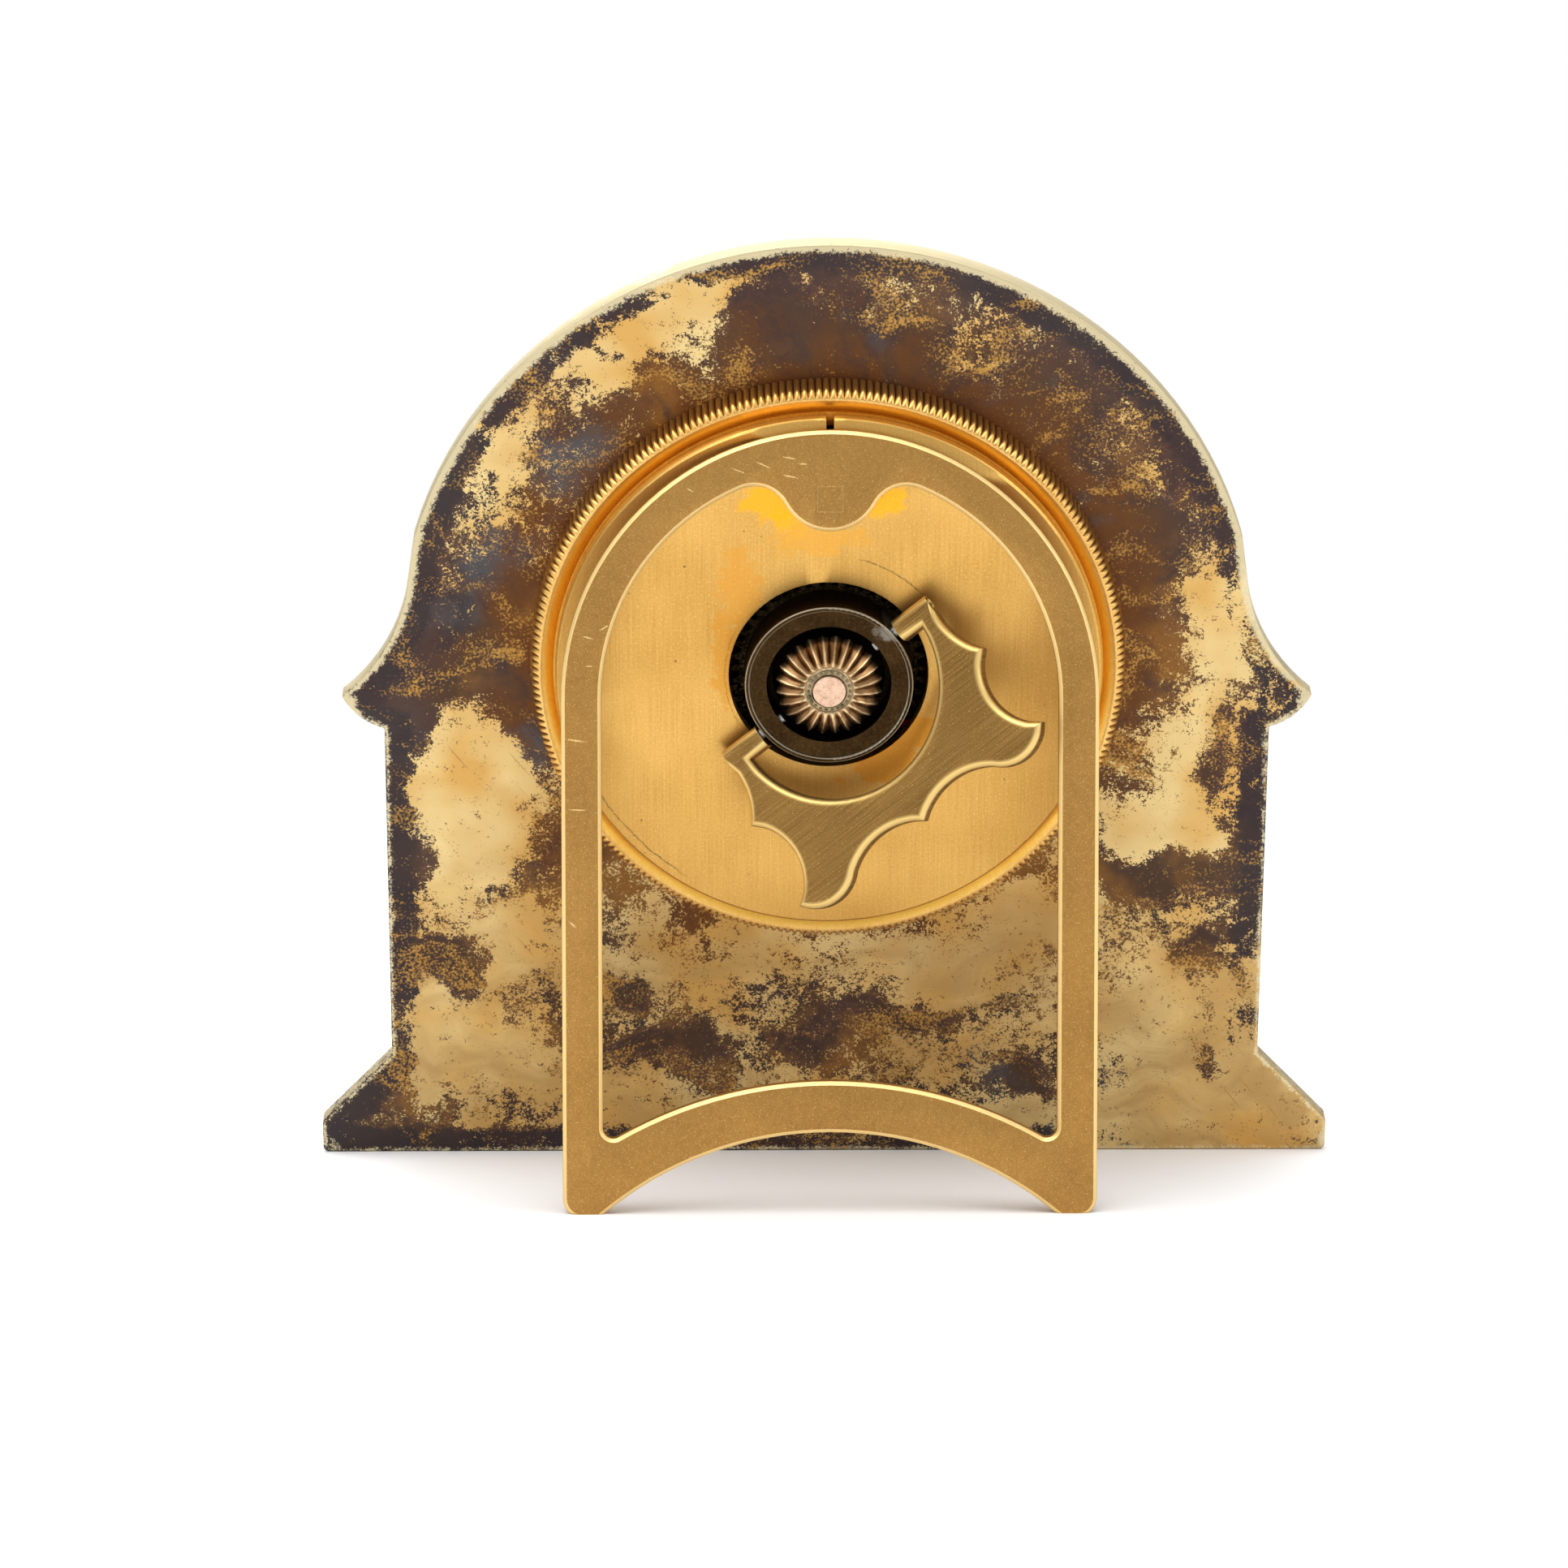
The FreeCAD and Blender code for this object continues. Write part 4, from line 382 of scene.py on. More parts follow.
    # long fine scratches filled with dirt
    turnedSpot = add("Mapping", {"Vector": spot, "Rotation": (0, 0, math.radians(52))})
    along = add("Mapping", {"Vector": turnedSpot, "Scale": (1 / 9, 1 / 0.22, 1)})
    scratch = add("TexNoise", {"Vector": along, "Scale": 1.0, "Detail": 1.0})
    scratched = add("MapRange", {"Value": scratch, "From Min": 0.76, "From Max": 0.80, "To Max": 0.6})
    marked = add("Mix", {0: scratched, 6: lowTanned, 7: plateLook["umber"]}, data_type="RGBA")
    coated = add("Mix", {0: film, 6: marked, 7: gilt}, data_type="RGBA")
    # the rim and the side wall are rubbed bright
    worn = add("Math", {0: level, 1: 0.6, 2: rimAway.outputs["Fac"]}, operation="MULTIPLY_ADD")
    narrow, wide = plateLook["rimWear"]
    reach = add("MapRange", {
        "Value": height.outputs["Y"], "From Min": -14, "From Max": 8, "To Min": narrow, "To Max": wide})
    worn = add("Math", {0: worn, 1: reach}, operation="SUBTRACT")
    rim = add("MapRange", {"Value": worn, "From Min": 0.25, "From Max": -0.1, "To Max": 0.92}, **softly)
    coloured = add("Mix", {0: rim, 6: coated, 7: plateLook["rim"]}, data_type="RGBA")
    rough = add("MapRange", {"Value": film, "To Min": 0.38, "To Max": 0.55})
    bump = add("Bump", {"Strength": 0.3, "Distance": 0.00003, "Height": grain})
    setInputs(shader, {"Base Color": coloured, "Roughness": rough, "Metallic": 0.92, "Normal": bump})
    return material


def makePlate():
    bm = cadMesh("front_plate", benchToWorld)
    roundEdges(bm, sharpEdges(bm, 40), plateLook["edgeRound"], 3)
    # how far each point lies from the outline, for the rim's wear and the dirt inside it
    outline = []
    for edge in bm.edges:
        a, b = edge.verts[0].co, edge.verts[1].co
        if max(a.z, b.z) > plateLook["rearLevel"] and math.hypot(a.x, a.y) > plateLook["hole"]:
            steps = max(1, int((a - b).length / plateLook["outlineStep"]))
            flatness = [abs(f.normal.z) for f in edge.link_faces]
            if flatness and max(flatness) > 0.999 and min(flatness) < 0.999:
                outline += [a.lerp(b, i / steps) for i in range(steps + 1)]
    # cuts right across give the flat back enough points to hold that distance
    for reach, way in zip(plateLook["reach"], (Vector((1, 0, 0)), Vector((0, 1, 0)))):
        place = -reach
        while place < reach:
            bmesh.ops.bisect_plane(bm, geom=bm.verts[:] + bm.edges[:] + bm.faces[:], plane_co=place * way,
                                   plane_no=way, dist=0.0005)
            place += plateLook["meshStep"]
    nearest = kdtree.KDTree(len(outline))
    for i, point in enumerate(outline):
        nearest.insert((point.x, point.y, 0), i)
    nearest.balance()
    layer = bm.verts.layers.float.new("rimDistance")
    for v in bm.verts:
        v[layer] = nearest.find((v.co.x, v.co.y, 0))[2] if v.co.z > plateLook["rearLevel"] - 0.02 else 0.0
    finishPiece(bm, "platePiece", makePlateMaterial(), "case", smooth=40, replaced="front_plate")
    print("plate made,", len(outline), "outline points")


makePlate()


# Metals: each look gives a finish its colours, the direction and size of its tool marks, and its wear, in mm.
# Brass and its golds keep the default IOR, since the colour carries the metal. Real grain is nearer 0.05 mm
# and is drawn coarser, so that it shows. plainMetal holds what a look has unless it says otherwise.
plainMetal = {
    "lineWide": 0.3, "lineLong": 3, "lineDepth": 0.3, "turn": 0, "cloud": 3, "cloudDepth": 0.3, "grain": 0.25,
    "grainDepth": 0.15, "rough": 0.36, "bump": 0.1, "stainsAndReflections": [], "fleck": 0.4, "nicks": [], "arcs": []}
metalLooks = {
    # lacquered brass cover, brushed up and down: satin lines, deeper yellow where lacquer gathered by the strut's
    # tip, and a deep orange spot by the ring that is a painted reflection of the key
    "lacqueredCoverBrass": {
        "base": "#E6B866", "shade": "#B88538", "bright": "#F2D08A", "lineWide": 0.14, "lineLong": 9,
        "lineDepth": 0.25, "cloud": 15, "cloudDepth": 0.35, "grainDepth": 0.16, "specks": (2.1, "#5A4528"),
        "stainsAndReflections": [(-6.5, 19.6, 2.6, 2.2, "#FFB41E"), (-3.9, 17.4, 2.2, 1.8, "#FFB41E"),
                   (6.2, 19.6, 2.0, 1.8, "#FFB41E"), (-1.8, 15.4, 5, 1.8, "#E2A746"),
                   # the last spot, below and right of the ring, is a painted orange reflection of the key, not a
                   # stain
                   (-9.5, 9.5, 2.4, 4.5, "#DDA045"), (-10.8, 2, 1.6, 6, "#D89A3E"), (6.2, -7.6, 6, 5, "#D8922E")],
        "arcs": [(13.5, 42, 77, "#6E5530"), (27.8, 205, 238, "#6E5A3A"), (11.0, 150, 215, "#B87A2C")]},
    # gilded brass nut: bright crests, painted shade in its grooves, orange lacquer left on its sloping inside
    "giltNutBrass": {
        "base": "#EDC276", "shade": "#C88E38", "bright": "#FBE3B0", "lineLong": 0.9, "cloud": 8, "grain": 0.2,
        "rough": 0.3, "cone": (30.4, "#F6C24A"), "groove": "#5E3C1A"},
    # turned and lacquered brass drum: warm, glossy, with fine lines round it
    "drumBrass": {
        "base": "#D9A245", "shade": "#A86A1C", "bright": "#EFC877", "lineWide": 0.2, "turn": 90, "cloud": 9,
        "grainDepth": 0.1, "rough": 0.28},
    # blasted and gilded brass strut: sandy and dulled to olive, with bevels painted bright (partly rubbing, partly a
    # painted highlight) and pale nicks
    "blastedStrutBrass": {
        "base": "#BC904E", "shade": "#8A6432", "bright": "#F2D390", "lineWide": 0.5, "lineLong": 0.7,
        "lineDepth": 0.2, "cloud": 14, "grain": 0.16, "grainDepth": 0.22, "rough": 0.46, "bump": 0.5,
        "bevel": (0.93, 0.45),
        "nicks": [(-26.6, -4.6, 0.9, 0.09, -8), (-26.4, -11.9, 0.9, 0.08, -3), (-25.3, 6.2, 0.6, 0.08, -12),
                  (-23.6, 7.2, 0.5, 0.08, 30), (-25.2, 3.2, 0.4, 0.07, 0), (-27.0, -24.0, 0.5, 0.08, -40),
                  (-9.6, 23.6, 0.8, 0.07, -22), (-7.0, 24.2, 0.9, 0.08, -24), (-4.2, 24.9, 0.6, 0.09, -10),
                  (-4.2, 23.0, 0.8, 0.09, -12), (-14.6, 21.6, 0.5, 0.07, -30), (-2.9, 24.3, 0.4, 0.09, 0)]},
    # brass key brushed along its hinge: dull flat faces, with rolled and polished edges painted bright, partly as a
    # painted highlight
    "brushedKeyBrass": {
        "base": "#A07C44", "shade": "#6C4E26", "bright": "#E6C67E", "lineWide": 9, "lineLong": 0.14,
        "lineDepth": 0.6, "cloud": 9, "cloudDepth": 0.22, "grain": 0.2, "grainDepth": 0.1, "bump": 0.25,
        "bevel": (0.95, 0.35)},
    # cast brass lugs, barely cleaned: dull, brown and grainy
    "hingeBrass": {
        "base": "#A98546", "shade": "#6E5224", "bright": "#D9B56B", "lineLong": 0.3, "grain": 0.15,
        "grainDepth": 0.25, "rough": 0.4, "bump": 0.2},
    # grained brass plates: straight fine lines, a soft shine
    "movementBrass": {
        "base": "#CFA250", "shade": "#93692A", "bright": "#E8C880", "lineWide": 0.12, "lineLong": 6, "turn": 20,
        "cloud": 8, "cloudDepth": 0.25, "grain": 0.2, "rough": 0.32},
    # cut and polished brass wheels: clean, with a short grain
    "wheelBrass": {
        "base": "#D2A556", "shade": "#8C6326", "bright": "#E8C880", "lineWide": 0.1, "lineDepth": 0.25, "turn": 65,
        "cloud": 4, "cloudDepth": 0.25, "grain": 0.15, "grainDepth": 0.12, "rough": 0.28, "bump": 0.08},
    # polished plain steel: cool grey with a fine straight grain
    "clockSteel": {
        "base": "#A9A9A8", "shade": "#6C6B69", "bright": "#D8D8D6", "lineWide": 0.08, "turn": 40, "cloud": 4,
        "cloudDepth": 0.25, "grain": 0.15, "rough": 0.27},
    # spring steel blued by heat: deep blue and glossy, paler in patches
    "bluedSpringSteel": {
        "base": "#2B3E6B", "shade": "#1C2748", "bright": "#5A6FA0", "lineWide": 0.1, "lineLong": 2,
        "cloudDepth": 0.4, "grain": 0.12, "grainDepth": 0.1, "rough": 0.22, "bump": 0.05},
    # gilded brass border and bezel: warm, bright and soft in its shine
    "giltFrontBrass": {
        "base": "#D8B469", "shade": "#9B7430", "bright": "#F0D79A", "lineWide": 0.4, "lineLong": 5,
        "lineDepth": 0.25, "turn": 15, "cloud": 16, "cloudDepth": 0.32, "grain": 0.3, "grainDepth": 0.2,
        "rough": 0.3},
    # front panel in long brushed brass: matt, streaked from top to foot
    "brushedPanelBrass": {
        "base": "#C6A259", "shade": "#94733A", "bright": "#E8CC8A", "lineWide": 0.14, "lineLong": 30,
        "lineDepth": 0.45, "cloud": 22, "grain": 0.3, "grainDepth": 0.18, "rough": 0.4, "bump": 0.25},
    # winding ring in brass bronzed nearly black, its rim painted grey: partly rubbing, partly a painted highlight
    "bronzedRing": {
        "base": "#4A351C", "shade": "#1E150A", "bright": "#A39A86", "lineLong": 1.5, "lineDepth": 0.2, "turn": 90,
        "cloud": 4, "cloudDepth": 0.4, "grainDepth": 0.25, "bump": 0.15, "bevel": (0.93, 0.3), "fleck": 0.06,
        "stainsAndReflections": [(6.2, 6.0, 1.4, 1.0, "#8A8478")]},
    # brass plate and bush inside the ring, painted near black as shade, since they lie deep in the hole
    "shadeBlackBrass": {
        "base": "#1E1710", "shade": "#0E0A07", "bright": "#4A3C28", "lineLong": 0.6, "cloudDepth": 0.4,
        "grainDepth": 0.4, "rough": 0.5, "bump": 0.3},
    # winding wheels painted dark as shade, since they lie deep in the hole; grainy, with no shine of their own
    "shadeDarkWheel": {
        "base": "#3A2E1C", "shade": "#19130B", "bright": "#6E5C3C", "lineLong": 0.3, "cloud": 2, "cloudDepth": 0.5,
        "grain": 0.3, "grainDepth": 0.8, "rough": 0.55, "bump": 0.8},
}


def makeMetal(name, toWorld=benchToWorld):
    look = {**plainMetal, **metalLooks[name]}
    material, add, shader = startMaterial(name)
    spot = placeCoords(add, toWorld)
    turned = add("Mapping", {"Vector": spot, "Rotation": (0, 0, math.radians(look["turn"])),
        "Scale": (1 / look["lineWide"], 1 / look["lineLong"], 1 / look["lineWide"])})
    lines = add("TexNoise", {"Vector": turned, "Scale": 1.0, "Detail": 3.0})
    cloud = add("TexNoise", {"Vector": spot, "Scale": 1 / look["cloud"], "Detail": 5.0})
    grain = add("TexNoise", {"Vector": spot, "Scale": 1 / look["grain"], "Detail": 2.0})
    tatter = add("TexNoise", {"Vector": spot, "Scale": 1 / 2.5, "Detail": 5.0, "Roughness": 0.7})
    # dark share: broad clouds, tool lines and pitted grain
    broad = add("MapRange", {"Value": cloud, "From Min": 0.35, "From Max": 0.7, "To Max": look["cloudDepth"]})
    marks = add("MapRange", {"Value": lines, "From Min": 0.3, "From Max": 0.7, "To Max": look["lineDepth"]})
    pits = add("MapRange", {"Value": grain, "From Min": 0.42, "From Max": 0.68, "To Max": look["grainDepth"]})
    dark = add("Math", {0: broad, 1: marks}, operation="ADD")
    dark = add("Math", {0: dark, 1: pits}, operation="ADD", use_clamp=True)
    colour = add("Mix", {0: dark, 6: look["base"], 7: look["shade"]}, data_type="RGBA")
    # spots of another colour: most are stains, and the cover's deep orange one is a painted reflection of the key
    for x, y, across, high, tint in look["stainsAndReflections"]:
        far = spotAway(add, spot, x, y, across, high)
        ragged = add("Math", {0: tatter, 1: 3.0, 2: far}, operation="MULTIPLY_ADD")
        tintSpot = add("MapRange", {"Value": ragged, "From Min": 2.7, "From Max": 2.2, "To Max": 0.8}, **softly)
        colour = add("Mix", {0: tintSpot, 6: colour, 7: tint}, data_type="RGBA")
    for x, y, reach, thick, turn in look["nicks"]:
        # a pale dent, long and thin, its ends tapering
        local = add("VectorMath", {0: spot, 1: (-x, -y, 0)}, operation="ADD")
        local = add("VectorRotate", {"Vector": local, "Angle": math.radians(-turn)}, rotation_type="Z_AXIS")
        local = add("Mapping", {"Vector": local, "Scale": (1 / reach, 1 / thick, 0)})
        far = add("VectorMath", {0: local}, operation="LENGTH")
        uneven = add("Math", {0: grain, 1: 1.6, 2: far}, operation="MULTIPLY_ADD")
        nick = add("MapRange", {"Value": uneven, "From Min": 2.0, "From Max": 1.4, "To Max": 0.85})
        colour = add("Mix", {0: nick, 6: colour, 7: look["bright"]}, data_type="RGBA")
    if look["arcs"] or "cone" in look:
        flat = add("VectorMath", {0: spot, 1: (1, 1, 0)}, operation="MULTIPLY")
        radius = add("VectorMath", {0: flat}, operation="LENGTH")
    for reach, low, high, tint in look["arcs"]:
        # a scuff left by something that turned round the centre
        middle, half = math.radians((low + high) / 2), math.radians((high - low) / 2)
        away = add("Math", {0: radius, 1: -reach}, operation="ADD")
        away = add("Math", {0: tatter, 1: 0.8, 2: away}, operation="MULTIPLY_ADD")
        away = add("Math", {0: away, 1: 0.4}, operation="SUBTRACT")
        away = add("Math", {0: away}, operation="ABSOLUTE")
        line = add("MapRange", {"Value": away, "From Min": 0.12, "From Max": 0.03, "To Max": 0.75})
        way = add("VectorMath", {0: flat}, operation="NORMALIZE")
        along = add("VectorMath", {0: way, 1: (math.cos(middle), math.sin(middle), 0)}, operation="DOT_PRODUCT")
        part = add("MapRange", {"Value": along, "From Min": math.cos(half), "From Max": math.cos(half * 0.75)})
        scuff = add("Math", {0: line, 1: part}, operation="MULTIPLY")
        scuff = add("Math", {0: scuff, 1: grain}, operation="MULTIPLY")
        scuff = add("Math", {0: scuff, 1: 1.7}, operation="MULTIPLY", use_clamp=True)
        colour = add("Mix", {0: scuff, 6: colour, 7: tint}, data_type="RGBA")
    if "specks" in look:
        apart, tint = look["specks"]
        dots = add("TexVoronoi", {"Vector": spot, "Scale": 1 / apart})
        crowd = add("TexNoise", {"Vector": spot, "Scale": 1 / 7, "Detail": 2.0})
        dotSize = add("MapRange", {"Value": crowd, "From Min": 0.5, "From Max": 0.75, "To Min": 0.0, "To Max": 0.10})
        inside = add("Math", {0: dotSize, 1: dots}, operation="SUBTRACT")
        spotted = add("MapRange", {"Value": inside, "From Min": -0.01, "From Max": 0.02, "To Max": 0.8})
        colour = add("Mix", {0: spotted, 6: colour, 7: tint}, data_type="RGBA")
    if "cone" in look:
        # the sloping inside of the ring kept its deep orange lacquer
        edge, tint = look["cone"]
        slope = add("SeparateXYZ", {"Vector": placeNormal(add, toWorld)})
        sloping = add("MapRange", {"Value": slope.outputs["Z"], "From Min": 0.97, "From Max": 0.93})
        inner = add("MapRange", {"Value": radius, "From Min": edge + 0.3, "From Max": edge})
        both = add("Math", {0: sloping, 1: inner}, operation="MULTIPLY")
        both = add("Math", {0: both, 1: 0.7}, operation="MULTIPLY")
        colour = add("Mix", {0: both, 6: colour, 7: tint}, data_type="RGBA")
    if "bevel" in look:
        # faces that lean away from flat are the bevels, painted bright: partly rubbing, partly a painted highlight
        flat, steep = look["bevel"]
        facing = add("SeparateXYZ", {"Vector": placeNormal(add, toWorld)})
        below = add("MapRange", {"Value": facing.outputs["Z"], "From Min": flat + 0.04, "From Max": flat - 0.06})
        above = add("MapRange", {"Value": facing.outputs["Z"], "From Min": steep - 0.15, "From Max": steep + 0.15})
        paled = add("Math", {0: below, 1: above}, operation="MULTIPLY")
        colour = add("Mix", {0: paled, 6: colour, 7: look["bright"]}, data_type="RGBA")
    high = add("MapRange", {"Value": grain, "From Min": 0.38, "From Max": 0.28, "To Max": look["fleck"]})
    colour = add("Mix", {0: high, 6: colour, 7: look["bright"]}, data_type="RGBA")
    rough = add("MapRange", {"Value": dark, "To Min": look["rough"], "To Max": look["rough"] + 0.18})
    both = add("Math", {0: lines, 1: grain}, operation="ADD")
    bump = add("Bump", {"Strength": look["bump"], "Distance": 0.00003, "Height": both})
    setInputs(shader, {"Base Color": colour, "Roughness": rough, "Metallic": 1.0, "Normal": bump})
    return material


metals = {name: makeMetal(name) for name in metalLooks if name not in ("blastedStrutBrass", "brushedKeyBrass")}
metals["blastedStrutBrass"] = makeMetal("blastedStrutBrass", strutToWorld)
metals["brushedKeyBrass"] = makeMetal("brushedKeyBrass", wingToWorld)

nodeFinishes = {
    "drumBrass": ["drum_case", "dial_spacer_ring"],
    "hingeBrass": ["hinge_lugs"],
    "blastedStrutBrass": ["strut_knuckle"],
    "clockSteel": [
        "strut_hinge_pin", "wing_hinge_pins", "barrel_arbor", "click_screw", "pillar_screws", "case_screws",
        "escape_wheel", "pallet_lever", "hairspring_stud", "centre_arbor", "cannon_pinion", "minute_wheel_stud",
        "date_wheel_stud", "date_jumper", "dial_screws"],
    "giltFrontBrass": ["front_border", "bezel"],
    "brushedPanelBrass": ["front_panel"],
    # the wheels, click and plate deep in the winding hole are painted dark as shade, the steel ones too
    "shadeDarkWheel": ["winding_wheel", "ratchet_wheel", "click"],
    "shadeBlackBrass": ["winding_bush", "back_plate"],
    "movementBrass": ["main_plate", "pillars", "date_ring_keeper"],
    "wheelBrass": [
        "barrel", "barrel_cover", "centre_wheel", "third_wheel", "fourth_wheel", "intermediate_wheel",
        "balance_wheel", "date_wheel", "hour_wheel", "minute_wheel"],
    "bluedSpringSteel": ["mainspring", "hairspring", "click_spring"],
}
for finish, nodes in nodeFinishes.items():
    for node in nodes:
        dressNode(node, metals[finish])
print("metals made")


# Cover, strut, key and ring: welded copies of the solids with their real edge rounding
edgeWork = {
    "back_cover": {"name": "coverPiece", "metal": "lacqueredCoverBrass", "body": "case", "round": 0.08,
                   "place": benchToWorld, "slot": "lacquered_brass", "angle": 50},
    "winding_wing": {"name": "keyPiece", "metal": "brushedKeyBrass", "body": "wing", "round": 0.18,
                     "place": wingToWorld, "slot": "aged_brass", "angle": 40,
                     "rolled": {"reach": 0.88, "steps": 5, "below": -1.5, "corner": 140, "clear": 2.2}},
    "strut": {"name": "strutPiece", "metal": "blastedStrutBrass", "body": "stand", "round": 0.1,
              "place": strutToWorld, "slot": "aged_brass", "angle": 30},
    "winding_ring": {"name": "ringPiece", "metal": "bronzedRing", "body": "winding", "round": 0.1,
                     "place": benchToWorld, "slot": "aged_brass", "angle": 40},
}


def makeEdgedCopy(node, work):
    bm = cadMesh(node, work["place"])
    if "rolled" in work:
        # the key's rear edge is rolled over, except along its two lugs
        roll, same = work["rolled"], 0.001
        top = max(v.co.z for v in bm.verts)
        # near a point the outline's short runs are joined, so the roll can mitre there
        crowded = set()
        for v in bm.verts:
            if v.co.z < top - same or v.co.y > roll["below"]:
                continue
            sides = [e.other_vert(v).co - v.co for e in v.link_edges if abs(e.other_vert(v).co.z - v.co.z) < same]
            corner = sides[0].angle(sides[1]) if len(sides) == 2 else math.pi
            if corner > math.radians(roll["corner"]):
                continue
            clear = min(roll["clear"], 1.2 * roll["reach"] / math.tan(corner / 2))
            for e in bm.edges:
                a, b = e.verts[0].co, e.verts[1].co
                upright = abs(a.x - b.x) < same and abs(a.y - b.y) < same
                if upright and 0.01 < math.hypot(a.x - v.co.x, a.y - v.co.y) < clear:
                    crowded.add(e)
        bmesh.ops.dissolve_edges(bm, edges=list(crowded), use_verts=True)
        rolled = [e for e in sharpEdges(bm, work["angle"])
                  if all(v.co.z > top - same and v.co.y < roll["below"] for v in e.verts)]
        roundEdges(bm, rolled, roll["reach"], roll["steps"], clamp=False)
    roundEdges(bm, sharpEdges(bm, work["angle"]), work["round"], 2)
    finishPiece(bm, work["name"], metals[work["metal"]], work["body"], work["place"], smooth=35, replaced=node)


for node, work in edgeWork.items():
    makeEdgedCopy(node, work)
print("cover, strut, key and ring made")


# Ring nut: 256 rounded knurls that die out over its rolled rear corner, a flat lip and a sloping inside
nutShape = {
    "knurls": 256, "perKnurl": 4, "depth": 0.42, "round": 0.8,
    "profile": [(28.72, -5.41, 0), (31.2, -5.41, 0), (31.6, -5.25, 1), (31.6, -2.75, 1), (31.52, -2.3, 1),
                (31.3, -1.9, 0.95), (31.0, -1.62, 0.75), (30.75, -1.48, 0.3), (30.6, -1.43, 0), (30.35, -1.43, 0),
                (28.72, -2.53, 0)],
}


def makeNut():
    look = metalLooks["giltNutBrass"]
    count = nutShape["knurls"] * nutShape["perKnurl"]
    bm, layer = spunBlank(nutShape["profile"], count, "knurlHeight", closed=True)
    for v in bm.verts:
        lift, radius = v[layer], math.hypot(v.co.x, v.co.y)
        low = lift * (1 - abs(math.sin(math.atan2(v.co.y, v.co.x) * nutShape["knurls"] / 2)) ** nutShape["round"])
        v.co.xy *= (radius - low * nutShape["depth"]) / radius
        v[layer] = 1 - low
    bmesh.ops.recalc_face_normals(bm, faces=bm.faces)
    # the grooves between the knurls are darkened with painted shade; the crests keep the plain colour
    material = metals["giltNutBrass"]
    add = partial(addNode, material.node_tree)
    shader = next(n for n in material.node_tree.nodes if n.type == "BSDF_PRINCIPLED")
    under = shader.inputs["Base Color"].links[0].from_socket
    crests = add("Attribute", attribute_name="knurlHeight")
    groove = add("MapRange", {"Value": crests.outputs["Fac"], "From Min": 0.75, "From Max": 0.1, "To Max": 0.85})
    colour = add("Mix", {0: groove, 6: under, 7: look["groove"]}, data_type="RGBA")
    setInputs(shader, {"Base Color": colour})
    finishPiece(bm, "nutPiece", material, "case", smooth=42, replaced="knurled_ring_nut")


makeNut()
print("nut made")


# Setting knob: bronzed copper with 24 sharp ridges, a beaded crown and a pinkish flat cap
knobShape = {
    "petals": 24, "perPetal": 8, "swell": 0.42, "lift": 0.4, "beads": 22, "beadSize": 0.17, "beadRing": 2.2,
    "beadLevel": 4.46, "capRound": 0.12,
    "profile": [(1.8, 4.08, 0.0), (1.88, 4.4, 0.0), (2.2, 4.42, 0.0), (2.45, 4.34, 0.0), (2.55, 4.2, 0.05),
                (2.75, 4.28, 0.35), (3.2, 4.2, 0.75), (4.2, 3.78, 1.0), (4.95, 3.2, 1.0), (5.36, 2.72, 1.0),
                (5.42, 2.45, 1.0), (5.2, 2.15, 0.9), (4.6, 1.9, 0.6), (3.0, 1.6, 0.0), (3.0, -0.6, 0.0),
                (0.6, -0.6, 0.0)],
}
copperLook = {"base": "#94704A", "dark": "#22130B", "pale": "#F2D6A8", "verdigris": "#2E3323", "cap": "#E6C4A8",
              "capDark": "#C49A7C"}


def makeCopperMaterial():
    material, add, shader = startMaterial("flutedCopper")
    spot = placeCoords(add, benchToWorld)
    groove = add("Attribute", attribute_name="petalHeight")
    cloud = add("TexNoise", {"Vector": spot, "Scale": 1 / 1.3, "Detail": 4.0})
    grain = add("TexNoise", {"Vector": spot, "Scale": 1 / 0.15, "Detail": 2.0})
    # the valleys between the ridges take the ramp's dark end, a painted shade, and the tallest crests turn pale, a
    # painted highlight
    height = add("Math", {0: cloud, 1: 0.5, 2: groove.outputs["Fac"]}, operation="MULTIPLY_ADD")
    ramp = add("ValToRGB", {"Fac": height})
    for stop, place, colour in zip(ramp.color_ramp.elements, (0.12, 0.62), ("dark", "base")):
        stop.position, stop.color = place, linearFromHex(copperLook[colour])
    paled = add("MapRange", {"Value": height, "From Min": 0.98, "From Max": 1.22, "To Max": 0.85})
    colour = add("Mix", {0: paled, 6: ramp, 7: copperLook["pale"]}, data_type="RGBA")
    # greenish dirt keeps to the channel round the cap
    flat = add("VectorMath", {0: spot, 1: (1, 1, 0)}, operation="MULTIPLY")
    radius = add("VectorMath", {0: flat}, operation="LENGTH")
    channel = add("MapRange", {"Value": radius, "From Min": 2.75, "From Max": 2.4, "To Max": 1.3}, **softly)
    patchy = add("Math", {0: channel, 1: cloud}, operation="MULTIPLY")
    green = add("Mix", {0: patchy, 6: colour, 7: copperLook["verdigris"]}, data_type="RGBA")
    rough = add("MapRange", {"Value": cloud, "To Min": 0.18, "To Max": 0.42})
    bump = add("Bump", {"Strength": 0.15, "Distance": 0.00002, "Height": grain})
    setInputs(shader, {"Base Color": green, "Roughness": rough, "Metallic": 1.0, "Normal": bump})
    return material


def makeCapMaterial():
    material, add, shader = startMaterial("rubbedCopperCap")
    spot = placeCoords(add, benchToWorld)
    blotch = add("TexNoise", {"Vector": spot, "Scale": 1 / 0.5, "Detail": 5.0, "Roughness": 0.7})
    share = add("MapRange", {"Value": blotch, "From Min": 0.45, "From Max": 0.7})
    colour = add("Mix", {0: share, 6: copperLook["cap"], 7: copperLook["capDark"]}, data_type="RGBA")
    bump = add("Bump", {"Strength": 0.3, "Distance": 0.00002, "Height": blotch})
    setInputs(shader, {"Base Color": colour, "Roughness": 0.42, "Metallic": 0.85, "Normal": bump})
    return material


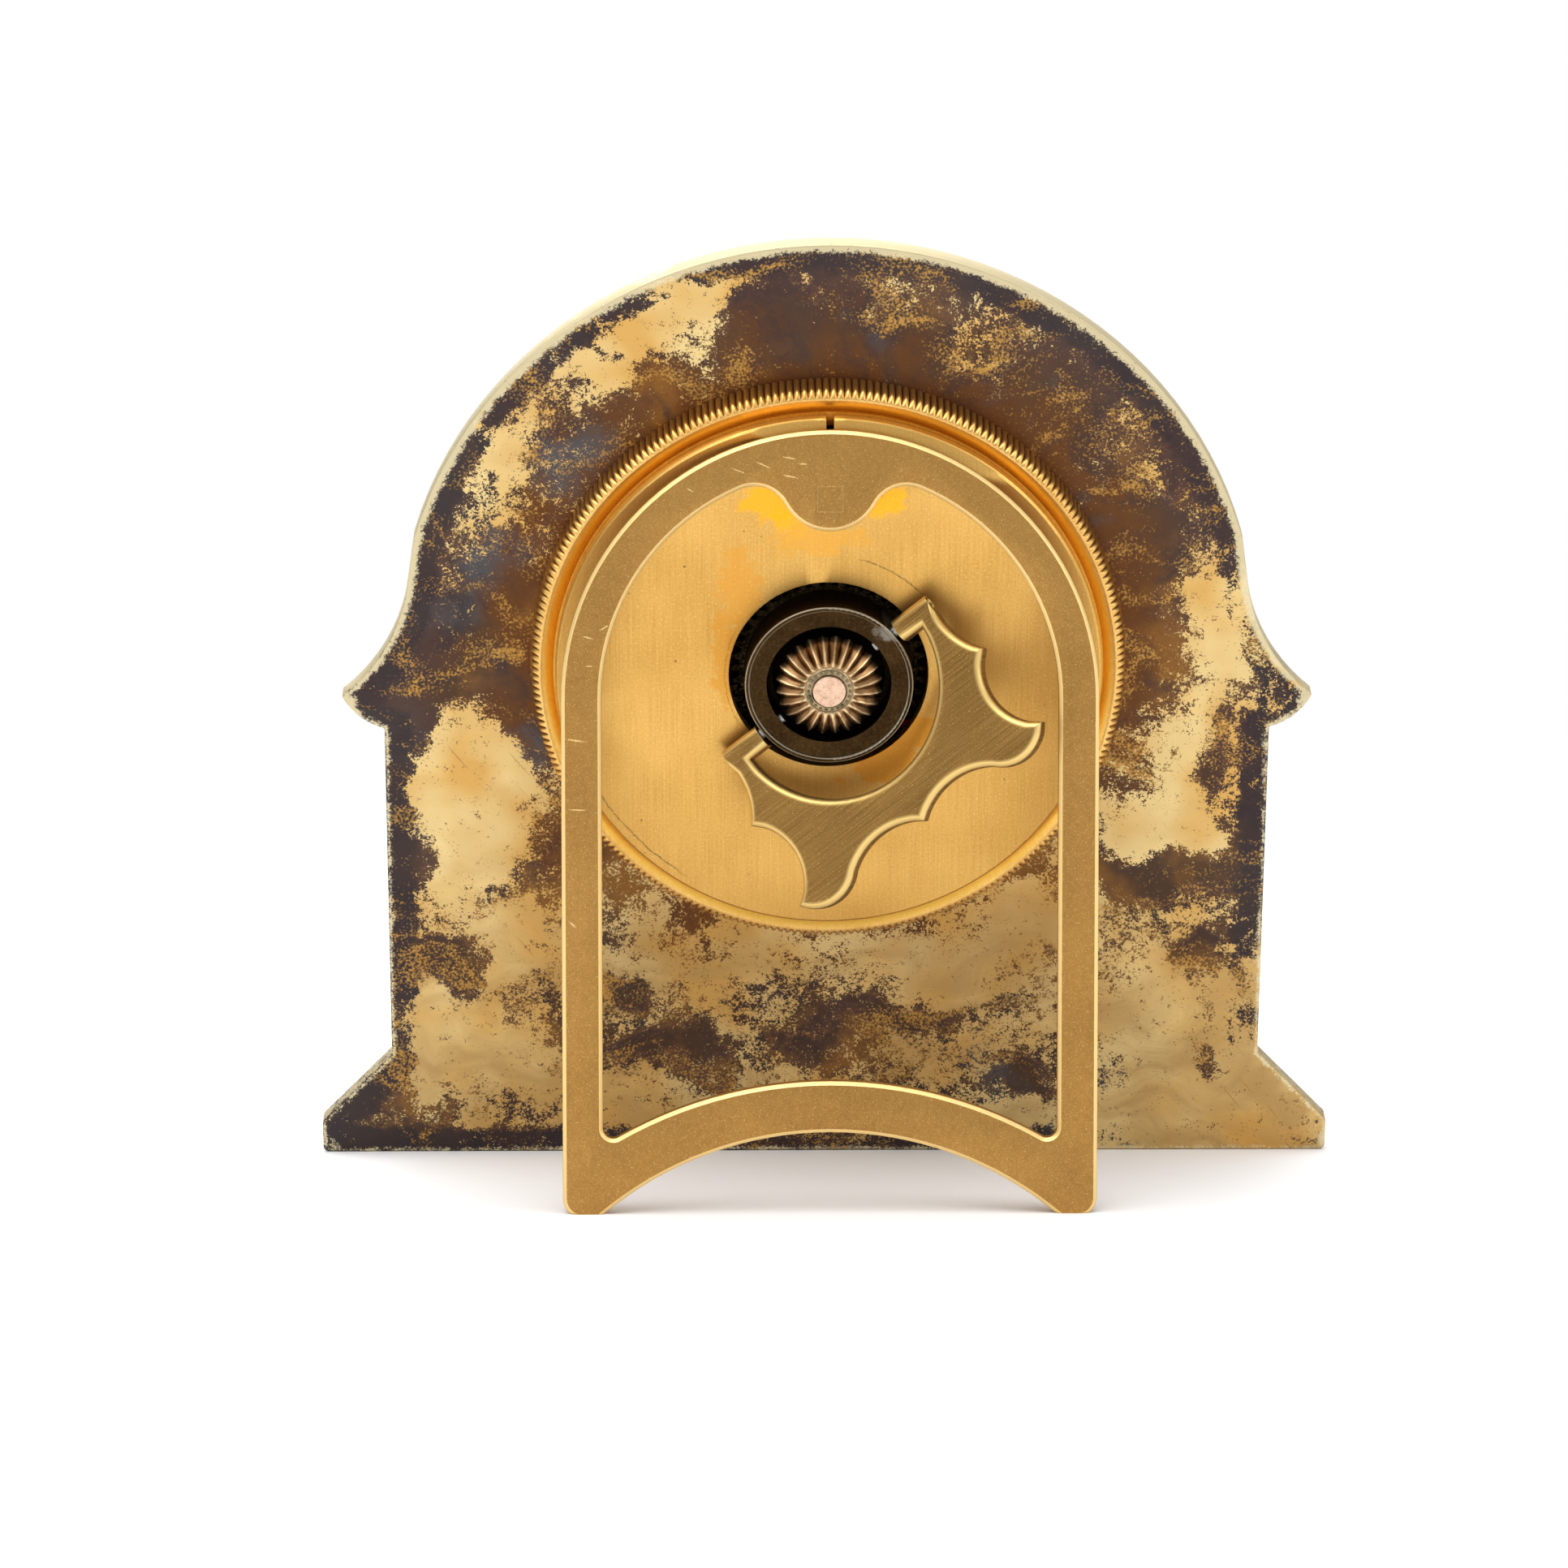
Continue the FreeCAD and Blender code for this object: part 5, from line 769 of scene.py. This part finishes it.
def makeKnob():
    count = knobShape["petals"] * knobShape["perPetal"]
    bm, layer = spunBlank(knobShape["profile"], count, "petalHeight", closed=False)
    bmesh.ops.holes_fill(bm, edges=[e for e in bm.edges if e.is_boundary])
    for v in bm.verts:
        lift, radius = v[layer], math.hypot(v.co.x, v.co.y)
        petal = math.acos(math.cos(math.atan2(v.co.y, v.co.x) * knobShape["petals"])) / math.pi
        v.co.xy *= (radius + lift * knobShape["swell"] * (petal - 0.5)) / radius
        v.co.z += lift * knobShape["lift"] * (petal - 0.5)
        v[layer] = 1 - lift * (1 - petal)
    for bead in range(knobShape["beads"]):
        turn = 2 * math.pi * bead / knobShape["beads"]
        place = Matrix.Translation((knobShape["beadRing"] * math.cos(turn), knobShape["beadRing"] * math.sin(turn),
                                    knobShape["beadLevel"]))
        made = bmesh.ops.create_uvsphere(bm, u_segments=10, v_segments=6, radius=knobShape["beadSize"], matrix=place)
        for v in made["verts"]:
            v[layer] = 0.9
    bmesh.ops.recalc_face_normals(bm, faces=bm.faces)
    finishPiece(bm, "knobPiece", makeCopperMaterial(), "hand_setting", smooth=50, replaced="setting_knob")
    cap = cadMesh("knob_cap", benchToWorld)
    roundEdges(cap, sharpEdges(cap, 50), knobShape["capRound"], 3)
    finishPiece(cap, "capPiece", makeCapMaterial(), "hand_setting", smooth=40, replaced="knob_cap")


makeKnob()
print("knob made")


# Dial side: cream painted dial with printed figures, a date ring behind it, two hands and a flat glass
dialLook = {
    "paint": "#EFE6CE", "aged": "#D9C79E", "foxing": "#A88B58", "ink": "#2A2420", "figureHeight": 4.2,
    "figureRing": 19.6, "minuteOuter": 26.0, "minuteLengths": (1.9, 1.1), "printThick": 0.03,
    "minuteWide": (0.5, 0.2), "frameLine": 0.3, "ringPaint": "#F1ECDD", "ringAged": "#E2D6B8", "inkAged": "#3A322A",
    "inkWorn": "#5C4C38", "today": 15, "face": -14.1, "dateFigure": 1.75, "dateRing": 18.2, "dateFace": -13.35,
    "window": (2.3, 18.2, 1.8),
}
handLook = {"paint": "#26221F", "paled": "#8A7A5A", "edgeRound": 0.07}
glassLook = {"roughness": 0.02, "smear": 0.10, "edgeRound": 0.25}
jewelLook = {"ruby": "#4E0A1A", "pale": "#8A1830"}


def makePaintMaterial(name, paint, aged, foxing, clean):
    # cellulose paint on sheet brass: smooth and softly glossy, yellowed in clouds, with fine brown foxing
    material, add, shader = startMaterial(name)
    spot = placeCoords(add, benchToWorld)
    cloud = add("TexNoise", {"Vector": spot, "Scale": 1 / 9, "Detail": 5.0})
    grain = add("TexNoise", {"Vector": spot, "Scale": 1 / 0.35, "Detail": 2.0})
    fleck = add("TexNoise", {"Vector": spot, "Scale": 1 / 0.7, "Detail": 3.0, "Roughness": 0.7})
    yellow = add("MapRange", {"Value": cloud, "From Min": 0.35, "From Max": 0.75, "To Max": 0.8})
    colour = add("Mix", {0: yellow, 6: paint, 7: aged}, data_type="RGBA")
    flecks = add("MapRange", {"Value": fleck, "From Min": clean, "From Max": clean + 0.08, "To Max": 0.6})
    colour = add("Mix", {0: flecks, 6: colour, 7: foxing}, data_type="RGBA")
    rough = add("MapRange", {"Value": grain, "To Min": 0.34, "To Max": 0.52})
    bump = add("Bump", {"Strength": 0.12, "Distance": 0.00002, "Height": grain})
    setInputs(shader, {"Base Color": colour, "Roughness": rough, "Normal": bump})
    return material


def makeGlassMaterial():
    # flat soda-lime watch glass: clear, with faint wiping smears that only show in its reflections
    material, add, shader = startMaterial("mineralGlass")
    spot = placeCoords(add, benchToWorld)
    smear = add("TexNoise", {"Vector": spot, "Scale": 1 / 14, "Detail": 6.0, "Distortion": 0.8})
    rough = add("MapRange", {"Value": smear, "From Min": 0.45, "From Max": 0.75, "To Min": glassLook["roughness"],
        "To Max": glassLook["smear"]})
    tint = add("Mix", {0: smear, 6: "#FAFDFB", 7: "#F3F8F5"}, data_type="RGBA")
    setInputs(shader, {"Base Color": tint, "Roughness": rough, "IOR": 1.52, "Transmission Weight": 1.0})
    # light passes the glass straight on, so the dial behind it isn't in its shadow
    rays = add("LightPath")
    clear = add("BsdfTransparent", {"Color": (0.95, 0.96, 0.955, 1)})
    mix = add("MixShader", {0: rays.outputs["Is Shadow Ray"], 1: shader, 2: clear})
    setInputs(material.node_tree.nodes["Material Output"], {"Surface": mix})
    return material


def makeJewelMaterial():
    # synthetic ruby bearings: deep red and glossy, paler where the light gets through
    material, add, shader = startMaterial("syntheticRuby")
    spot = placeCoords(add, benchToWorld)
    depth = add("TexNoise", {"Vector": spot, "Scale": 1 / 0.5, "Detail": 3.0})
    colour = add("Mix", {0: depth, 6: jewelLook["ruby"], 7: jewelLook["pale"]}, data_type="RGBA")
    rough = add("MapRange", {"Value": depth, "To Min": 0.05, "To Max": 0.14})
    setInputs(shader, {"Base Color": colour, "Roughness": rough, "IOR": 1.77})
    return material


def makeHandMaterial():
    # black lacquered steel, rubbed to bare metal on the edges
    material, add, shader = startMaterial("blackLacqueredSteel")
    spot = placeCoords(add, benchToWorld)
    wear = add("TexNoise", {"Vector": spot, "Scale": 1 / 0.8, "Detail": 4.0})
    share = add("MapRange", {"Value": wear, "From Min": 0.62, "From Max": 0.72, "To Max": 0.5})
    colour = add("Mix", {0: share, 6: handLook["paint"], 7: handLook["paled"]}, data_type="RGBA")
    rough = add("MapRange", {"Value": wear, "To Min": 0.2, "To Max": 0.4})
    setInputs(shader, {"Base Color": colour, "Roughness": rough, "Metallic": share})
    return material


def figureShape(words, height):
    # a figure as a thin plate of ink, its middle at the origin, lying in x and y
    curve = bpy.data.curves.new("figure", "FONT")
    curve.body = words
    curve.size = height / 0.72
    curve.align_x = "CENTER"
    curve.align_y = "CENTER"
    curve.resolution_u = 3
    curve.extrude = dialLook["printThick"] / 2
    drawn = bpy.data.objects.new("figure", curve)
    scene.collection.objects.link(drawn)
    bpy.context.view_layer.update()
    data = bpy.data.meshes.new_from_object(drawn.evaluated_get(bpy.context.evaluated_depsgraph_get()))
    bpy.data.objects.remove(drawn)
    low = [min(v.co[i] for v in data.vertices) for i in range(3)]
    high = [max(v.co[i] for v in data.vertices) for i in range(3)]
    data.transform(Matrix.Translation((-(low[0] + high[0]) / 2, -(low[1] + high[1]) / 2, 0)))
    return data


def addFigure(bm, words, height, radius, angle, face, upright):
    # clock angles run clockwise from the top as the dial is read, which is from below on the bench
    turn = math.radians(angle)
    data = figureShape(words, height)
    facing = Matrix.Rotation(math.pi, 4, "Y")
    place = Matrix.Translation((-radius * math.sin(turn), radius * math.cos(turn), face - dialLook["printThick"] / 2))
    roll = Matrix.Identity(4) if upright else Matrix.Rotation(turn + math.pi, 4, "Z")
    data.transform(place @ roll @ facing)
    bm.from_mesh(data)
    bpy.data.meshes.remove(data)


def makeDial():
    ink = makePaintMaterial("printedInk", dialLook["ink"], dialLook["inkAged"], dialLook["inkWorn"], 0.66)
    bm = bmesh.new()
    for hour in range(1, 13):
        if hour != 6:
            addFigure(bm, str(hour), dialLook["figureHeight"], dialLook["figureRing"], hour * 30, dialLook["face"],
                      True)
    halfWide, ring, halfHigh = dialLook["window"]
    inkLevel = dialLook["face"] - dialLook["printThick"] / 2
    deep = Matrix.Translation((0, 0, inkLevel))
    for minute in range(60):
        length, wide = [dialLook[key][minute % 5 > 0] for key in ("minuteLengths", "minuteWide")]
        made = bmesh.ops.create_cube(bm, size=1.0)["verts"]
        bmesh.ops.scale(bm, vec=(wide, length, dialLook["printThick"]), verts=made)
        bmesh.ops.translate(bm, vec=(0, dialLook["minuteOuter"] - length / 2, 0), verts=made)
        bmesh.ops.transform(bm, matrix=deep @ Matrix.Rotation(math.radians(minute * 6), 4, "Z"), verts=made)
    # the date window has a thin printed frame
    line = dialLook["frameLine"]
    outX, outY, longX = halfWide + line / 2, halfHigh + line / 2, 2 * (halfWide + line)
    for x, y, wide, high in ((0, ring + outY, longX, line), (0, ring - outY, longX, line),
                             (outX, ring, line, 2 * halfHigh), (-outX, ring, line, 2 * halfHigh)):
        made = bmesh.ops.create_cube(bm, size=1.0)["verts"]
        bmesh.ops.scale(bm, vec=(wide, high, dialLook["printThick"]), verts=made)
        bmesh.ops.translate(bm, vec=(x, -y, inkLevel), verts=made)
    finishPiece(bm, "dialPrint", ink, "case")
    bm = bmesh.new()
    for day in range(31):
        # the ring rests with one figure square in the window at the foot of the dial
        words = str((dialLook["today"] - 1 + day) % 31 + 1)
        addFigure(bm, words, dialLook["dateFigure"], dialLook["dateRing"], 180 + day * 360 / 31,
                  dialLook["dateFace"], False)
    finishPiece(bm, "datePrint", ink, "date_indicator")
    foxing = dialLook["foxing"]
    dressNode("dial", makePaintMaterial("agedDialPaint", dialLook["paint"], dialLook["aged"], foxing, 0.70))
    dressNode("date_ring", makePaintMaterial("dateRingPaint", dialLook["ringPaint"], dialLook["ringAged"], foxing,
                                             0.72))
    dressNode("crystal", makeGlassMaterial())
    dressNode("pivot_jewels", makeJewelMaterial())
    hands = makeHandMaterial()
    for node, name, body in (("hour_hand", "hourHandPiece", "hour_work"),
                             ("minute_hand", "minuteHandPiece", "hand_setting")):
        bm = cadMesh(node, benchToWorld)
        roundEdges(bm, sharpEdges(bm, 40), handLook["edgeRound"], 2)
        finishPiece(bm, name, hands, body, replaced=node)
    dressNode("hand_nut", metals["wheelBrass"])


makeDial()
print("dial side made")
